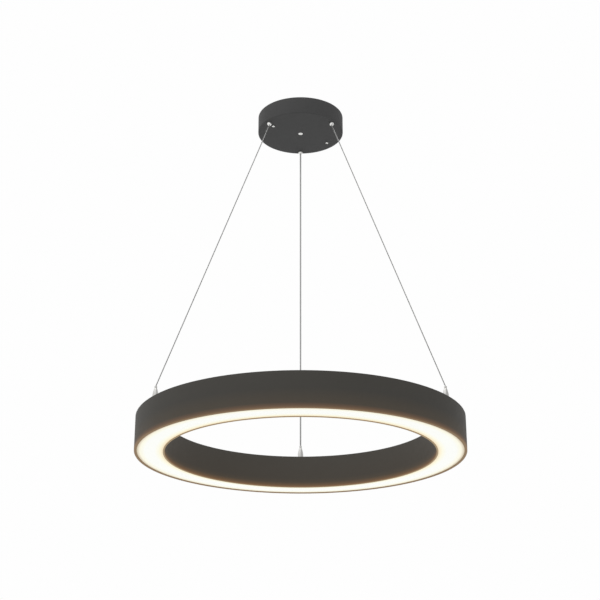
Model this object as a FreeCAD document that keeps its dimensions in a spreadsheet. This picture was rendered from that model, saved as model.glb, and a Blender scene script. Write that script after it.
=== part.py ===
"""LED ring pendant: a round canopy, three suspension wires and a lit ring.

The frame is millimetres with +Z up. The origin is the centre of the face
that lies against the ceiling, and the ring hangs below it.
"""
import FreeCAD, Part
import os
import Sketcher

# ---------------------------------------------------------------- driving dimensions

SIZES = {
    # whole object: ceiling to the lower edge of the ring
    "drop": 695.5,
    # ring channel: outer radius, breadth and height of the section, its walls and lips
    "ring_radius": 300.0,
    "ring_breadth": 54.5,
    "ring_tall": 63.0,
    "ring_wall": 2.0,
    "ring_web": 2.5,
    "ring_lip": 4.8,
    "inner_lip": 2.8,
    "lip_thick": 1.2,
    "ring_edge": 0.6,
    # opal diffuser, its legs and its gap to the channel
    "diffuser_thick": 2.0,
    "diffuser_gap": 0.15,
    "leg_thick": 1.2,
    "leg_tall": 7.0,
    # carrier plate for the boards, measured from the lower edge of the ring
    "carrier_level": 27.0,
    "carrier_thick": 1.5,
    "carrier_gap": 0.3,
    "pillar_radius": 3.0,
    "pillar_circle": 264.0,
    "carrier_screw_head": 2.9,
    "carrier_screw_tall": 2.0,
    "carrier_screw_shank": 1.4,
    "carrier_screw_long": 9.0,
    # boards, chips and the bridges between boards
    "board_inner": 269.0,
    "board_outer": 289.0,
    "board_thick": 1.6,
    "board_sweep": 89.6,
    "chip_circle": 279.0,
    "chip_long": 3.5,
    "chip_wide": 2.8,
    "chip_tall": 0.7,
    "jumper_long": 8.0,
    "jumper_wide": 2.0,
    "jumper_tall": 0.5,
    "jumper_spread": 6.0,
    # splice of the rolled channel
    "splice_long": 90.0,
    "splice_wide": 12.0,
    "splice_thick": 3.0,
    "splice_screw_head": 2.6,
    "splice_screw_tall": 1.8,
    "splice_screw_pitch": 22.0,
    # wires
    "wire_radius": 1.0,
    "power_radius": 1.5,
    "canopy_wire_circle": 75.5,
    "canopy_wire_angle": 35.8,
    "ring_wire_circle": 280.0,
    "ring_wire_angle": 25.0,
    # cable grippers, heights from the top face of the ring
    "gripper_base": 5.6,
    "gripper_shoulder": 13.5,
    "gripper_top": 26.0,
    "gripper_neck": 3.0,
    "gripper_edge": 0.5,
    "stud_radius": 3.95,
    "stud_long": 9.0,
    "stud_bore_gap": 0.5,
    "chamber_floor": 1.5,
    "taper_start": 10.5,
    "taper_end": 14.5,
    "chamber_gap": 0.35,
    "taper_bite": 0.75,
    "plunger_radius": 2.35,
    "plunger_play": 0.07,
    "plunger_foot": 12.7,
    "plunger_bore_gap": 0.35,
    "nipple_radius": 2.5,
    "nipple_foot": 28.2,
    "nipple_top": 31.0,
    "nipple_edge": 0.7,
    "ball_radius": 1.2,
    "ball_level": 11.35,
    "ball_play": 0.03,
    "spring_wire": 0.25,
    "spring_foot": 1.8,
    "spring_head": 9.8,
    "spring_turns": 5.0,
    "gripper_nut_radius": 7.4,
    "gripper_nut_tall": 4.0,
    # wires' lower ends inside the channel
    "tail_bend": 10.0,
    "tail_level": 30.0,
    "tail_run": 46.0,
    # connector of the power wire
    "connector_long": 18.0,
    "connector_wide": 9.0,
    "connector_tall": 7.5,
    "pin_radius": 0.6,
    "pin_spread": 5.0,
    # canopy cup
    "canopy_radius": 84.5,
    "canopy_tall": 34.0,
    "canopy_wall": 1.5,
    "canopy_edge": 1.0,
    # ceiling plate
    "plate_radius": 78.0,
    "plate_thick": 2.0,
    "slot_spacing": 110.0,
    "slot_long": 14.0,
    "slot_half_wide": 2.6,
    # grommet of the house cable
    "grommet_y": 14.0,
    "grommet_bore": 4.5,
    "grommet_radius": 6.5,
    "grommet_flange": 9.0,
    "grommet_below": 2.5,
    # canopy screws and the pillars that they go into
    "screw_left_x": -53.6,
    "screw_left_y": -32.5,
    "screw_right_x": 53.4,
    "screw_right_y": 36.0,
    "screw_head": 2.75,
    "screw_head_tall": 2.2,
    "screw_head_edge": 0.8,
    "screw_shank": 1.5,
    "screw_long": 10.0,
    "screw_hole": 1.8,
    "standoff_radius": 3.5,
    # centre plug
    "plug_radius": 4.4,
    "plug_tall": 0.6,
    "plug_edge": 0.5,
    "plug_shank": 3.4,
    "plug_shank_long": 5.0,
    "plug_hole": 3.5,
    # wire bushings of the canopy
    "bushing_flange": 4.7,
    "bushing_tall": 5.4,
    "bushing_rim": 1.2,
    "bushing_nose": 2.2,
    "bushing_shank": 2.95,
    "bushing_long": 9.0,
    "bushing_bore_gap": 0.25,
    "bushing_hole": 3.0,
    "bushing_nut_radius": 5.2,
    "bushing_nut_tall": 3.0,
    "anchor_radius": 2.3,
    "anchor_long": 7.0,
    # driver
    "driver_y": -43.0,
    "driver_long": 84.0,
    "driver_wide": 36.0,
    "driver_tall": 20.0,
    "driver_wall": 1.5,
    "driver_ear": 9.0,
    "driver_ear_wide": 12.0,
    "driver_board_level": 6.0,
    "driver_board_thick": 1.6,
    "driver_screw_head": 2.9,
    "driver_screw_tall": 2.0,
    "driver_screw_shank": 1.5,
    "transformer_long": 22.0,
    "transformer_wide": 20.0,
    "transformer_tall": 9.5,
    "capacitor_radius": 4.5,
    "capacitor_tall": 8.5,
    # mains terminals
    "terminal_x": -20.0,
    "terminal_y": 38.0,
    "terminal_long": 30.0,
    "terminal_wide": 17.0,
    "terminal_tall": 13.0,
    "terminal_pitch": 10.0,
    "terminal_bore": 1.9,
    "terminal_screw": 2.0,
    "terminal_screw_depth": 3.0,
    # earth terminal
    "earth_x": 32.0,
    "earth_y": 20.0,
    "earth_radius": 2.0,
    "earth_long": 11.0,
    "earth_nut_radius": 4.0,
    "earth_nut_tall": 3.2,
    # leads inside the canopy
    "lead_radius": 1.2,
    "lead_sag": 5.0,
}

# heights that follow from the driving dimensions
RING_FOOT = "(-Size.drop)"
RING_TOP = "(Size.ring_tall - Size.drop)"
CANOPY_FLOOR = "(-Size.canopy_tall)"
INNER_RADIUS = "(Size.ring_radius - Size.ring_breadth)"
CHANNEL_INNER = "(Size.ring_radius - Size.ring_breadth + Size.ring_wall)"
CHANNEL_OUTER = "(Size.ring_radius - Size.ring_wall)"
MIDDLE_RADIUS = "(Size.ring_radius - Size.ring_breadth / 2)"
WIRE_START = "(-Size.canopy_tall - Size.bushing_tall)"
WIRE_END = "(Size.ring_tall - Size.drop + Size.nipple_top)"

PILLAR_ANGLES = (15, 75, 135, 195, 255, 315)
BOARD_COUNT = 4
CHIPS_PER_BOARD = 30


class Station:
    """One suspension point: where its wire leaves the canopy and meets the ring."""

    def __init__(self, side, radius, sign_x, on_axis):
        self.side = side
        self.radius = radius
        if on_axis:
            self.canopy_x = "0"
            self.canopy_y = "Size.canopy_wire_circle"
            self.ring_x = "0"
            self.ring_y = "Size.ring_wire_circle"
            self.turn = "0"
        else:
            self.canopy_x = f"{sign_x} * Size.canopy_wire_circle * cos(Size.canopy_wire_angle * 1 deg)"
            self.canopy_y = "-Size.canopy_wire_circle * sin(Size.canopy_wire_angle * 1 deg)"
            self.ring_x = f"{sign_x} * Size.ring_wire_circle * cos(Size.ring_wire_angle * 1 deg)"
            self.ring_y = "-Size.ring_wire_circle * sin(Size.ring_wire_angle * 1 deg)"
            self.turn = f"90 - {sign_x} * Size.ring_wire_angle"


STATIONS = (
    Station("left", "Size.wire_radius", -1, False),
    Station("right", "Size.wire_radius", 1, False),
    Station("far", "Size.power_radius", 0, True),
)

# ---------------------------------------------------------------- modelling helpers

doc = FreeCAD.newDocument("ring_pendant")
sheet = doc.addObject("Spreadsheet::Sheet", "Size")
nodes = []


def fill_sheet():
    """Write each driving dimension into the sheet and give its cell an alias."""
    for row, (alias, value) in enumerate(SIZES.items(), start=1):
        sheet.set(f"A{row}", alias)
        sheet.set(f"B{row}", str(value))
        sheet.setAlias(f"B{row}", alias)
    doc.recompute()


def keep(piece, name):
    """Mark a finished piece as a sub-part under its own name."""
    piece.Label = name
    nodes.append(piece)
    return piece


def place(piece, x="0", y="0", z="0", turn="0"):
    """Bind the place of a piece, and its turn about Z in degrees, to the sheet."""
    piece.setExpression("Placement.Base.x", x)
    piece.setExpression("Placement.Base.y", y)
    piece.setExpression("Placement.Base.z", z)
    piece.setExpression("Placement.Rotation.Angle", turn)
    return piece


def new_body(name):
    """A body that may hold separate lumps."""
    body = doc.addObject("PartDesign::Body", name)
    body.AllowCompound = True
    return body


def sketch_on(body, role, level="0"):
    """A sketch on one of the body's own origin planes, lifted by level along its normal."""
    plane = next(item for item in body.Origin.OriginFeatures if item.Role == role)
    sketch = body.newObject("Sketcher::SketchObject", "sketch")
    sketch.AttachmentSupport = [(plane, "")]
    sketch.MapMode = "FlatFace"
    sketch.setExpression("AttachmentOffset.Base.z", level)
    return sketch


def fix_point(sketch, item, point, x, y):
    """Hold one point of a sketch element at x, y."""
    drawn = sketch.getPoint(item, point)
    for kind, start, value in (("DistanceX", drawn.x, x), ("DistanceY", drawn.y, y)):
        index = sketch.addConstraint(Sketcher.Constraint(kind, item, point, start))
        sketch.setExpression(f"Constraints[{index}]", str(value))


def outline(sketch, corners):
    """Draw a closed polygon whose corners are bound to the sheet."""
    first = sketch.GeometryCount
    count = len(corners)
    rough = []
    for turn in range(count):
        ray = FreeCAD.Rotation(FreeCAD.Vector(0, 0, 1), 360.0 * turn / count)
        rough.append(ray.multVec(FreeCAD.Vector(10, 0, 0)))
    for step in range(count):
        line = Part.LineSegment(rough[step], rough[(step + 1) % count])
        sketch.addGeometry(line, False)
    for step in range(count):
        following = first + (step + 1) % count
        sketch.addConstraint(Sketcher.Constraint("Coincident", first + step, 2, following, 1))
    for step, (x, y) in enumerate(corners):
        fix_point(sketch, first + step, 1, x, y)


def circle(sketch, x, y, radius):
    """Draw a circle whose centre and radius are bound to the sheet."""
    round_line = Part.Circle(FreeCAD.Vector(1, 1, 0), FreeCAD.Vector(0, 0, 1), 1.0)
    item = sketch.addGeometry(round_line, False)
    fix_point(sketch, item, 3, x, y)
    index = sketch.addConstraint(Sketcher.Constraint("Radius", item, 1.0))
    sketch.setExpression(f"Constraints[{index}]", radius)


def block(sketch, x, y, long, wide):
    """Draw a rectangle about a centre."""
    left, right = f"({x}) - ({long}) / 2", f"({x}) + ({long}) / 2"
    front, back = f"({y}) - ({wide}) / 2", f"({y}) + ({wide}) / 2"
    outline(sketch, [(left, front), (right, front), (right, back), (left, back)])


def pad(body, sketch, length):
    """Raise a sketch along its normal."""
    feature = body.newObject("PartDesign::Pad", "pad")
    feature.Profile = sketch
    feature.setExpression("Length", length)
    return feature


def pocket(body, sketch, both_ways=True):
    """Cut a sketch right through the body, both ways or only against its normal."""
    feature = body.newObject("PartDesign::Pocket", "pocket")
    feature.Profile = sketch
    feature.Type = "ThroughAll"
    feature.Midplane = both_ways
    return feature


def revolve(body, sketch):
    """Turn a section about the upright axis."""
    feature = body.newObject("PartDesign::Revolution", "turned")
    feature.Profile = sketch
    feature.ReferenceAxis = (sketch, ["V_Axis"])
    feature.Angle = 360.0
    return feature


def turned_body(name, section):
    """A piece turned about Z from a closed section of (radius, height) corners."""
    body = new_body(name)
    sketch = sketch_on(body, "XZ_Plane")
    outline(sketch, section)
    revolve(body, sketch)
    return body


def round_edges(body, size, wanted):
    """Round the circular edges of the body's tip that wanted(radius, height) picks."""
    doc.recompute()
    base = body.Tip
    picked = []
    for number, edge in enumerate(base.Shape.Edges, start=1):
        curve = edge.Curve
        if isinstance(curve, Part.Circle) and wanted(curve.Radius, curve.Center.z):
            picked.append(f"Edge{number}")
    feature = body.newObject("PartDesign::Fillet", "rounded")
    feature.Base = (base, picked)
    feature.setExpression("Radius", size)
    return body


def near(value, target):
    """Whether two lengths are the same to a hundredth of a millimetre."""
    return abs(value - target) < 0.01


def group(name, pieces):
    """Several like pieces under one name."""
    together = doc.addObject("Part::Compound", name)
    together.Links = pieces
    return keep(together, name)


def hex_nut(name, radius, tall, bore):
    """A hexagonal nut standing on its own foot."""
    flats = doc.addObject("Part::Prism", name + "_flats")
    flats.Polygon = 6
    flats.setExpression("Circumradius", radius)
    flats.setExpression("Height", tall)
    hole = doc.addObject("Part::Cylinder", name + "_hole")
    hole.setExpression("Radius", bore)
    hole.setExpression("Height", tall)
    nut = doc.addObject("Part::Cut", name)
    nut.Base = flats
    nut.Tool = hole
    return nut


def screw(name, head, head_tall, shank, long, edge="0.4"):
    """A pan head screw, head down: the underside of its head is at height zero."""
    section = [
        ("0", long),
        ("0", f"-({head_tall})"),
        (f"({head}) - ({edge})", f"-({head_tall})"),
        (head, f"({edge}) - ({head_tall})"),
        (head, "0"),
        (shank, "0"),
        (shank, long),
    ]
    return turned_body(name, section)


def sagging_lead(name, start, end, sag):
    """A round lead from start to end, in one arc that dips by sag in the middle."""
    span = f"sqrt(pow(({end[0]}) - ({start[0]}); 2) + pow(({end[1]}) - ({start[1]}); 2))"
    rise = f"(({end[2]}) - ({start[2]}))"
    body = new_body(name)
    route = sketch_on(body, "XZ_Plane")
    arc = Part.Arc(
        FreeCAD.Vector(0, 0, 0),
        FreeCAD.Vector(25, -5, 0),
        FreeCAD.Vector(50, 0, 0),
    )
    item = route.addGeometry(arc, False)
    fix_point(route, item, 1, "0", "0")
    fix_point(route, item, 2, span, rise)
    bend = f"(pow({span}; 2) + pow({rise}; 2)) / 8 / ({sag}) + ({sag}) / 2"
    index = route.addConstraint(Sketcher.Constraint("Radius", item, 60.0))
    route.setExpression(f"Constraints[{index}]", bend)
    doc.recompute()
    section = body.newObject("Sketcher::SketchObject", "sketch")
    section.AttachmentSupport = [(route, "Edge1")]
    section.MapMode = "NormalToEdge"
    circle(section, "0", "0", "Size.lead_radius")
    doc.recompute()
    sweep = body.newObject("PartDesign::AdditivePipe", "swept")
    sweep.Profile = section
    sweep.Spine = route
    heading = f"atan2(({end[1]}) - ({start[1]}); ({end[0]}) - ({start[0]})) / 1 deg"
    return place(body, start[0], start[1], start[2], heading)


# ---------------------------------------------------------------- ceiling side


def make_ceiling_plate():
    """Round steel plate against the ceiling, with slots, cable hole and tapped holes."""
    body = new_body("ceiling_plate")
    disc = sketch_on(body, "XY_Plane", "-Size.plate_thick")
    circle(disc, "0", "0", "Size.plate_radius")
    pad(body, disc, "Size.plate_thick")
    holes = sketch_on(body, "XY_Plane")
    circle(holes, "0", "Size.grommet_y", "Size.grommet_radius")
    circle(holes, "Size.earth_x", "Size.earth_y", "Size.earth_radius")
    for side in (-1, 1):
        ear = f"{side} * (Size.driver_long + Size.driver_ear) / 2"
        circle(holes, ear, "Size.driver_y", "Size.driver_screw_shank")
    pocket(body, holes)
    slots = sketch_on(body, "XY_Plane")
    straight = "(Size.slot_long - 2 * Size.slot_half_wide)"
    for side in (-1, 1):
        block(slots, f"{side} * Size.slot_spacing / 2", "0", straight, "2 * Size.slot_half_wide")
    pocket(body, slots)
    for side in (-1, 1):
        for end in (-1, 1):
            tip = sketch_on(body, "XY_Plane")
            middle = f"{side} * Size.slot_spacing / 2 + {end} * {straight} / 2"
            circle(tip, middle, "0", "Size.slot_half_wide")
            pocket(body, tip)
    return keep(body, "ceiling_plate")


def make_standoffs():
    """Two hexagonal pillars between the ceiling plate and the canopy floor."""
    pillars = []
    tall = "(Size.canopy_tall - Size.canopy_wall - Size.plate_thick)"
    for side in ("left", "right"):
        pillar = hex_nut(f"standoff_{side}", "Size.standoff_radius", tall, "Size.screw_shank")
        place(
            pillar,
            f"Size.screw_{side}_x",
            f"Size.screw_{side}_y",
            f"{CANOPY_FLOOR} + Size.canopy_wall",
        )
        pillars.append(pillar)
    return group("plate_standoffs", pillars)


def make_grommet():
    """Rubber grommet that lines the cable hole and has its flange below the plate."""
    foot = "-(Size.plate_thick + Size.grommet_below)"
    section = [
        ("Size.grommet_bore", "0"),
        ("Size.grommet_bore", foot),
        ("Size.grommet_flange - 1", foot),
        ("Size.grommet_flange", f"{foot} + 1"),
        ("Size.grommet_flange", "-Size.plate_thick"),
        ("Size.grommet_radius", "-Size.plate_thick"),
        ("Size.grommet_radius", "0"),
    ]
    body = turned_body("cable_grommet", section)
    place(body, y="Size.grommet_y")
    return keep(body, "cable_grommet")


def make_canopy_cup():
    """Spun steel cup, open to the ceiling, with holes for bushings, screws and plug."""
    inner = "(Size.canopy_radius - Size.canopy_wall)"
    section = [
        ("0", CANOPY_FLOOR),
        ("Size.canopy_radius", CANOPY_FLOOR),
        ("Size.canopy_radius", "0"),
        (inner, "0"),
        (inner, f"{CANOPY_FLOOR} + Size.canopy_wall"),
        ("0", f"{CANOPY_FLOOR} + Size.canopy_wall"),
    ]
    body = turned_body("canopy_cup", section)
    floor, radius = -SIZES["canopy_tall"], SIZES["canopy_radius"]
    round_edges(body, "Size.canopy_edge", lambda r, h: near(r, radius) and near(h, floor))
    holes = sketch_on(body, "XY_Plane")
    circle(holes, "0", "0", "Size.plug_hole")
    for side in ("left", "right"):
        circle(holes, f"Size.screw_{side}_x", f"Size.screw_{side}_y", "Size.screw_hole")
    for station in STATIONS:
        circle(holes, station.canopy_x, station.canopy_y, "Size.bushing_hole")
    pocket(body, holes)
    return keep(body, "canopy_cup")


def make_canopy_screws():
    """The two bright screws that hold the canopy to the pillars."""
    screws = []
    for side in ("left", "right"):
        piece = screw(
            f"canopy_screw_{side}",
            "Size.screw_head",
            "Size.screw_head_tall",
            "Size.screw_shank",
            "Size.screw_long",
            "Size.screw_head_edge",
        )
        place(piece, f"Size.screw_{side}_x", f"Size.screw_{side}_y", CANOPY_FLOOR)
        screws.append(piece)
    return group("canopy_screws", screws)


def make_centre_plug():
    """Flat bright plug that closes the middle hole of the canopy."""
    section = [
        ("0", "Size.plug_shank_long"),
        ("0", "-Size.plug_tall"),
        ("Size.plug_radius - Size.plug_edge", "-Size.plug_tall"),
        ("Size.plug_radius", "Size.plug_edge - Size.plug_tall"),
        ("Size.plug_radius", "0"),
        ("Size.plug_shank", "0"),
        ("Size.plug_shank", "Size.plug_shank_long"),
    ]
    body = turned_body("centre_plug", section)
    place(body, z=CANOPY_FLOOR)
    return keep(body, "centre_plug")


def make_bushing(station):
    """Bright bushing that leads one wire out of the canopy floor."""
    bore = f"({station.radius} + Size.bushing_bore_gap)"
    section = [
        (bore, "Size.bushing_long"),
        (bore, "-Size.bushing_tall"),
        ("Size.bushing_nose", "-Size.bushing_tall"),
        ("Size.bushing_flange", "-Size.bushing_rim"),
        ("Size.bushing_flange", "0"),
        ("Size.bushing_shank", "0"),
        ("Size.bushing_shank", "Size.bushing_long"),
    ]
    body = turned_body(f"bushing_{station.side}", section)
    place(body, station.canopy_x, station.canopy_y, CANOPY_FLOOR)
    return keep(body, f"bushing_{station.side}")


def make_bushing_nuts():
    """Nuts that pull the bushings against the canopy floor from inside."""
    nuts = []
    for station in STATIONS:
        nut = hex_nut(
            f"bushing_nut_{station.side}",
            "Size.bushing_nut_radius",
            "Size.bushing_nut_tall",
            "Size.bushing_shank",
        )
        place(nut, station.canopy_x, station.canopy_y, f"{CANOPY_FLOOR} + Size.canopy_wall")
        nuts.append(nut)
    return group("bushing_nuts", nuts)


def make_anchor(station):
    """Ferrule crimped on a wire's upper end, with the wire's stub in the bushing."""
    section = [
        ("0", "Size.bushing_long + Size.anchor_long"),
        ("0", "-Size.bushing_tall"),
        (station.radius, "-Size.bushing_tall"),
        (station.radius, "Size.bushing_long"),
        ("Size.anchor_radius", "Size.bushing_long"),
        ("Size.anchor_radius", "Size.bushing_long + Size.anchor_long"),
    ]
    body = turned_body(f"anchor_{station.side}", section)
    place(body, station.canopy_x, station.canopy_y, CANOPY_FLOOR)
    return keep(body, f"anchor_{station.side}")


def make_driver():
    """LED power supply under the plate: case, cover, board, parts and screws."""
    top = "-Size.plate_thick"
    foot = "(-Size.plate_thick - Size.driver_tall)"
    inner_long = "(Size.driver_long - 2 * Size.driver_wall)"
    inner_wide = "(Size.driver_wide - 2 * Size.driver_wall)"

    case = new_body("driver_case")
    shell = sketch_on(case, "XY_Plane", foot)
    block(shell, "0", "Size.driver_y", "Size.driver_long", "Size.driver_wide")
    pad(case, shell, "Size.driver_tall")
    ears = sketch_on(case, "XY_Plane", f"{top} - Size.driver_wall")
    for side in (-1, 1):
        middle = f"{side} * (Size.driver_long + Size.driver_ear) / 2"
        block(ears, middle, "Size.driver_y", "Size.driver_ear", "Size.driver_ear_wide")
    pad(case, ears, "Size.driver_wall")
    hollow = sketch_on(case, "XY_Plane", f"{top} - Size.driver_wall")
    block(hollow, "0", "Size.driver_y", inner_long, inner_wide)
    pocket(case, hollow, both_ways=False)
    holes = sketch_on(case, "XY_Plane")
    for side in (-1, 1):
        middle = f"{side} * (Size.driver_long + Size.driver_ear) / 2"
        circle(holes, middle, "Size.driver_y", "Size.driver_screw_shank")
    pocket(case, holes)
    keep(case, "driver_case")

    cover = new_body("driver_cover")
    lid = sketch_on(cover, "XY_Plane", foot)
    block(lid, "0", "Size.driver_y", inner_long, inner_wide)
    pad(cover, lid, "Size.driver_wall")
    keep(cover, "driver_cover")

    board_foot = f"({foot} + Size.driver_board_level)"
    board = new_body("driver_board")
    sheet_outline = sketch_on(board, "XY_Plane", board_foot)
    block(sheet_outline, "0", "Size.driver_y", inner_long, inner_wide)
    pad(board, sheet_outline, "Size.driver_board_thick")
    keep(board, "driver_board")

    parts = new_body("driver_parts")
    standing = f"({board_foot} + Size.driver_board_thick)"
    core = sketch_on(parts, "XY_Plane", standing)
    block(core, "0", "Size.driver_y", "Size.transformer_long", "Size.transformer_wide")
    pad(parts, core, "Size.transformer_tall")
    cans = sketch_on(parts, "XY_Plane", standing)
    for side in (-1, 1):
        circle(cans, f"{side} * Size.driver_long / 3", "Size.driver_y", "Size.capacitor_radius")
    pad(parts, cans, "Size.capacitor_tall")
    keep(parts, "driver_parts")

    screws = []
    for side in (-1, 1):
        piece = screw(
            f"driver_screw_{side + 2}",
            "Size.driver_screw_head",
            "Size.driver_screw_tall",
            "Size.driver_screw_shank",
            "Size.driver_wall + Size.plate_thick",
        )
        middle = f"{side} * (Size.driver_long + Size.driver_ear) / 2"
        place(piece, middle, "Size.driver_y", f"{top} - Size.driver_wall")
        screws.append(piece)
    group("driver_screws", screws)


def make_terminals():
    """Three pole terminal block for the mains, with its clamp screws."""
    top = "-Size.plate_thick"
    foot = "(-Size.plate_thick - Size.terminal_tall)"
    body = new_body("terminal_block")
    outer = sketch_on(body, "XY_Plane", foot)
    block(outer, "Size.terminal_x", "Size.terminal_y", "Size.terminal_long", "Size.terminal_wide")
    pad(body, outer, "Size.terminal_tall")
    bores = sketch_on(body, "XZ_Plane")
    screw_holes = sketch_on(body, "XY_Plane", f"{foot} + Size.terminal_screw_depth")
    for pole in (-1, 0, 1):
        middle = f"Size.terminal_x + {pole} * Size.terminal_pitch"
        circle(bores, middle, f"{top} - Size.terminal_tall / 2", "Size.terminal_bore")
        circle(screw_holes, middle, "Size.terminal_y", "Size.terminal_screw")
    pocket(body, bores)
    pocket(body, screw_holes, both_ways=False)
    keep(body, "terminal_block")

    clamps = []
    for pole in (-1, 0, 1):
        clamp = doc.addObject("Part::Cylinder", f"terminal_screw_{pole + 2}")
        clamp.setExpression("Radius", "Size.terminal_screw")
        clamp.setExpression("Height", "Size.terminal_screw_depth / 2")
        middle = f"Size.terminal_x + {pole} * Size.terminal_pitch"
        place(clamp, middle, "Size.terminal_y", f"{foot} + Size.terminal_screw_depth / 2")
        clamps.append(clamp)
    group("terminal_screws", clamps)


def make_earth():
    """Earth stud riveted in the plate, and its nut."""
    stud = doc.addObject("Part::Cylinder", "earth_stud")
    stud.setExpression("Radius", "Size.earth_radius")
    stud.setExpression("Height", "Size.earth_long + Size.plate_thick")
    place(stud, "Size.earth_x", "Size.earth_y", "-Size.earth_long - Size.plate_thick")
    keep(stud, "earth_stud")
    nut = hex_nut("earth_nut", "Size.earth_nut_radius", "Size.earth_nut_tall", "Size.earth_radius")
    place(nut, "Size.earth_x", "Size.earth_y", "-Size.plate_thick - Size.earth_nut_tall")
    keep(nut, "earth_nut")


def make_canopy_leads():
    """Leads from the terminals to the driver, and from the driver to the power wire."""
    block_face = "Size.terminal_y - Size.terminal_wide / 2"
    driver_face = "Size.driver_y + Size.driver_wide / 2"
    height = "-Size.plate_thick - Size.terminal_tall / 2"
    leads = []
    for pole in (-1, 0):
        x = f"Size.terminal_x + {pole} * Size.terminal_pitch"
        lead = sagging_lead(
            f"supply_lead_{pole + 2}",
            (x, block_face, height),
            (x, driver_face, height),
            "Size.lead_sag",
        )
        leads.append(lead)
    group("supply_leads", leads)
    anchor_face = "Size.canopy_wire_circle - Size.anchor_radius"
    anchor_level = f"{CANOPY_FLOOR} + Size.bushing_long + Size.anchor_long / 2"
    output = sagging_lead(
        "output_lead",
        ("Size.driver_long / 4", driver_face, height),
        ("0", anchor_face, anchor_level),
        "Size.lead_sag / 2",
    )
    keep(output, "output_lead")


# ---------------------------------------------------------------- suspension


def make_wire(station):
    """One taut wire from the canopy bushing to the top of its gripper."""
    body = new_body(f"wire_{station.side}")
    upper = sketch_on(body, "XY_Plane")
    circle(upper, "0", "0", station.radius)
    lower = sketch_on(body, "XY_Plane", f"{WIRE_END} - ({WIRE_START})")
    shift_x = f"({station.ring_x}) - ({station.canopy_x})"
    shift_y = f"({station.ring_y}) - ({station.canopy_y})"
    circle(lower, shift_x, shift_y, station.radius)
    doc.recompute()
    loft = body.newObject("PartDesign::AdditiveLoft", "drawn")
    loft.Profile = upper
    loft.Sections = [lower]
    loft.Ruled = True
    place(body, station.canopy_x, station.canopy_y, WIRE_START)
    return keep(body, f"wire_{station.side}")


def make_gripper(station):
    """Cable gripper on the ring: barrel, release plunger, balls and spring."""
    side = station.side
    ball_circle = f"({station.radius} + Size.ball_play + Size.ball_radius)"
    reach = f"({ball_circle} + Size.ball_radius)"
    chamber = f"({reach} + Size.chamber_gap)"
    throat = f"({reach} - Size.taper_bite)"
    stem_bore = "(Size.plunger_radius + Size.plunger_play)"
    stud_bore = f"({station.radius} + Size.stud_bore_gap)"
    barrel_section = [
        (stud_bore, "-Size.stud_long"),
        ("Size.stud_radius", "-Size.stud_long"),
        ("Size.stud_radius", "0"),
        ("Size.gripper_base - Size.gripper_edge", "0"),
        ("Size.gripper_base", "Size.gripper_edge"),
        ("Size.gripper_base", "Size.gripper_shoulder"),
        ("Size.gripper_neck", "Size.gripper_top - Size.gripper_edge"),
        ("Size.gripper_neck - Size.gripper_edge", "Size.gripper_top"),
        (stem_bore, "Size.gripper_top"),
        (stem_bore, "Size.taper_end"),
        (throat, "Size.taper_end"),
        (chamber, "Size.taper_start"),
        (chamber, "Size.chamber_floor"),
        (stud_bore, "Size.chamber_floor"),
    ]
    barrel = turned_body(f"gripper_barrel_{side}", barrel_section)
    place(barrel, station.ring_x, station.ring_y, RING_TOP)
    keep(barrel, f"gripper_barrel_{side}")

    bore = f"({station.radius} + Size.plunger_bore_gap)"
    plunger_section = [
        (bore, "Size.plunger_foot"),
        ("Size.plunger_radius", "Size.plunger_foot"),
        ("Size.plunger_radius", "Size.nipple_foot"),
        ("Size.nipple_radius", "Size.nipple_foot"),
        ("Size.nipple_radius", "Size.nipple_top - Size.nipple_edge"),
        ("Size.nipple_radius - Size.nipple_edge", "Size.nipple_top"),
        (bore, "Size.nipple_top"),
    ]
    plunger = turned_body(f"gripper_plunger_{side}", plunger_section)
    place(plunger, station.ring_x, station.ring_y, RING_TOP)
    keep(plunger, f"gripper_plunger_{side}")

    balls = []
    for number in range(3):
        ball = doc.addObject("Part::Sphere", f"ball_{side}_{number + 1}")
        ball.setExpression("Radius", "Size.ball_radius")
        direction = f"({number * 120} deg)"
        place(
            ball,
            f"{station.ring_x} + {ball_circle} * cos({direction})",
            f"{station.ring_y} + {ball_circle} * sin({direction})",
            f"{RING_TOP} + Size.ball_level",
        )
        balls.append(ball)
    group(f"gripper_balls_{side}", balls)

    coil = doc.addObject("Part::Helix", f"coil_line_{side}")
    coil.setExpression("Pitch", "(Size.spring_head - Size.spring_foot) / Size.spring_turns")
    coil.setExpression("Height", "Size.spring_head - Size.spring_foot")
    coil.setExpression("Radius", ball_circle)
    section = doc.addObject("Part::Circle", f"coil_section_{side}")
    section.setExpression("Radius", "Size.spring_wire")
    section.Placement = FreeCAD.Placement(
        FreeCAD.Vector(0, 0, 0),
        FreeCAD.Rotation(FreeCAD.Vector(1, 0, 0), 90),
    )
    section.setExpression("Placement.Base.x", ball_circle)
    doc.recompute()
    spring = doc.addObject("Part::Sweep", f"gripper_spring_{side}")
    spring.Sections = [section]
    edges = [f"Edge{number}" for number in range(1, len(coil.Shape.Edges) + 1)]
    spring.Spine = (coil, edges)
    spring.Solid = True
    spring.Frenet = True
    place(spring, station.ring_x, station.ring_y, f"{RING_TOP} + Size.spring_foot")
    keep(spring, f"gripper_spring_{side}")


def make_gripper_nuts():
    """Nuts that clamp the grippers to the top of the channel from inside."""
    nuts = []
    for station in STATIONS:
        nut = hex_nut(
            f"gripper_nut_{station.side}",
            "Size.gripper_nut_radius",
            "Size.gripper_nut_tall",
            "Size.stud_radius",
        )
        level = f"{RING_TOP} - Size.ring_web - Size.gripper_nut_tall"
        place(nut, station.ring_x, station.ring_y, level)
        nuts.append(nut)
    return group("gripper_nuts", nuts)


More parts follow.
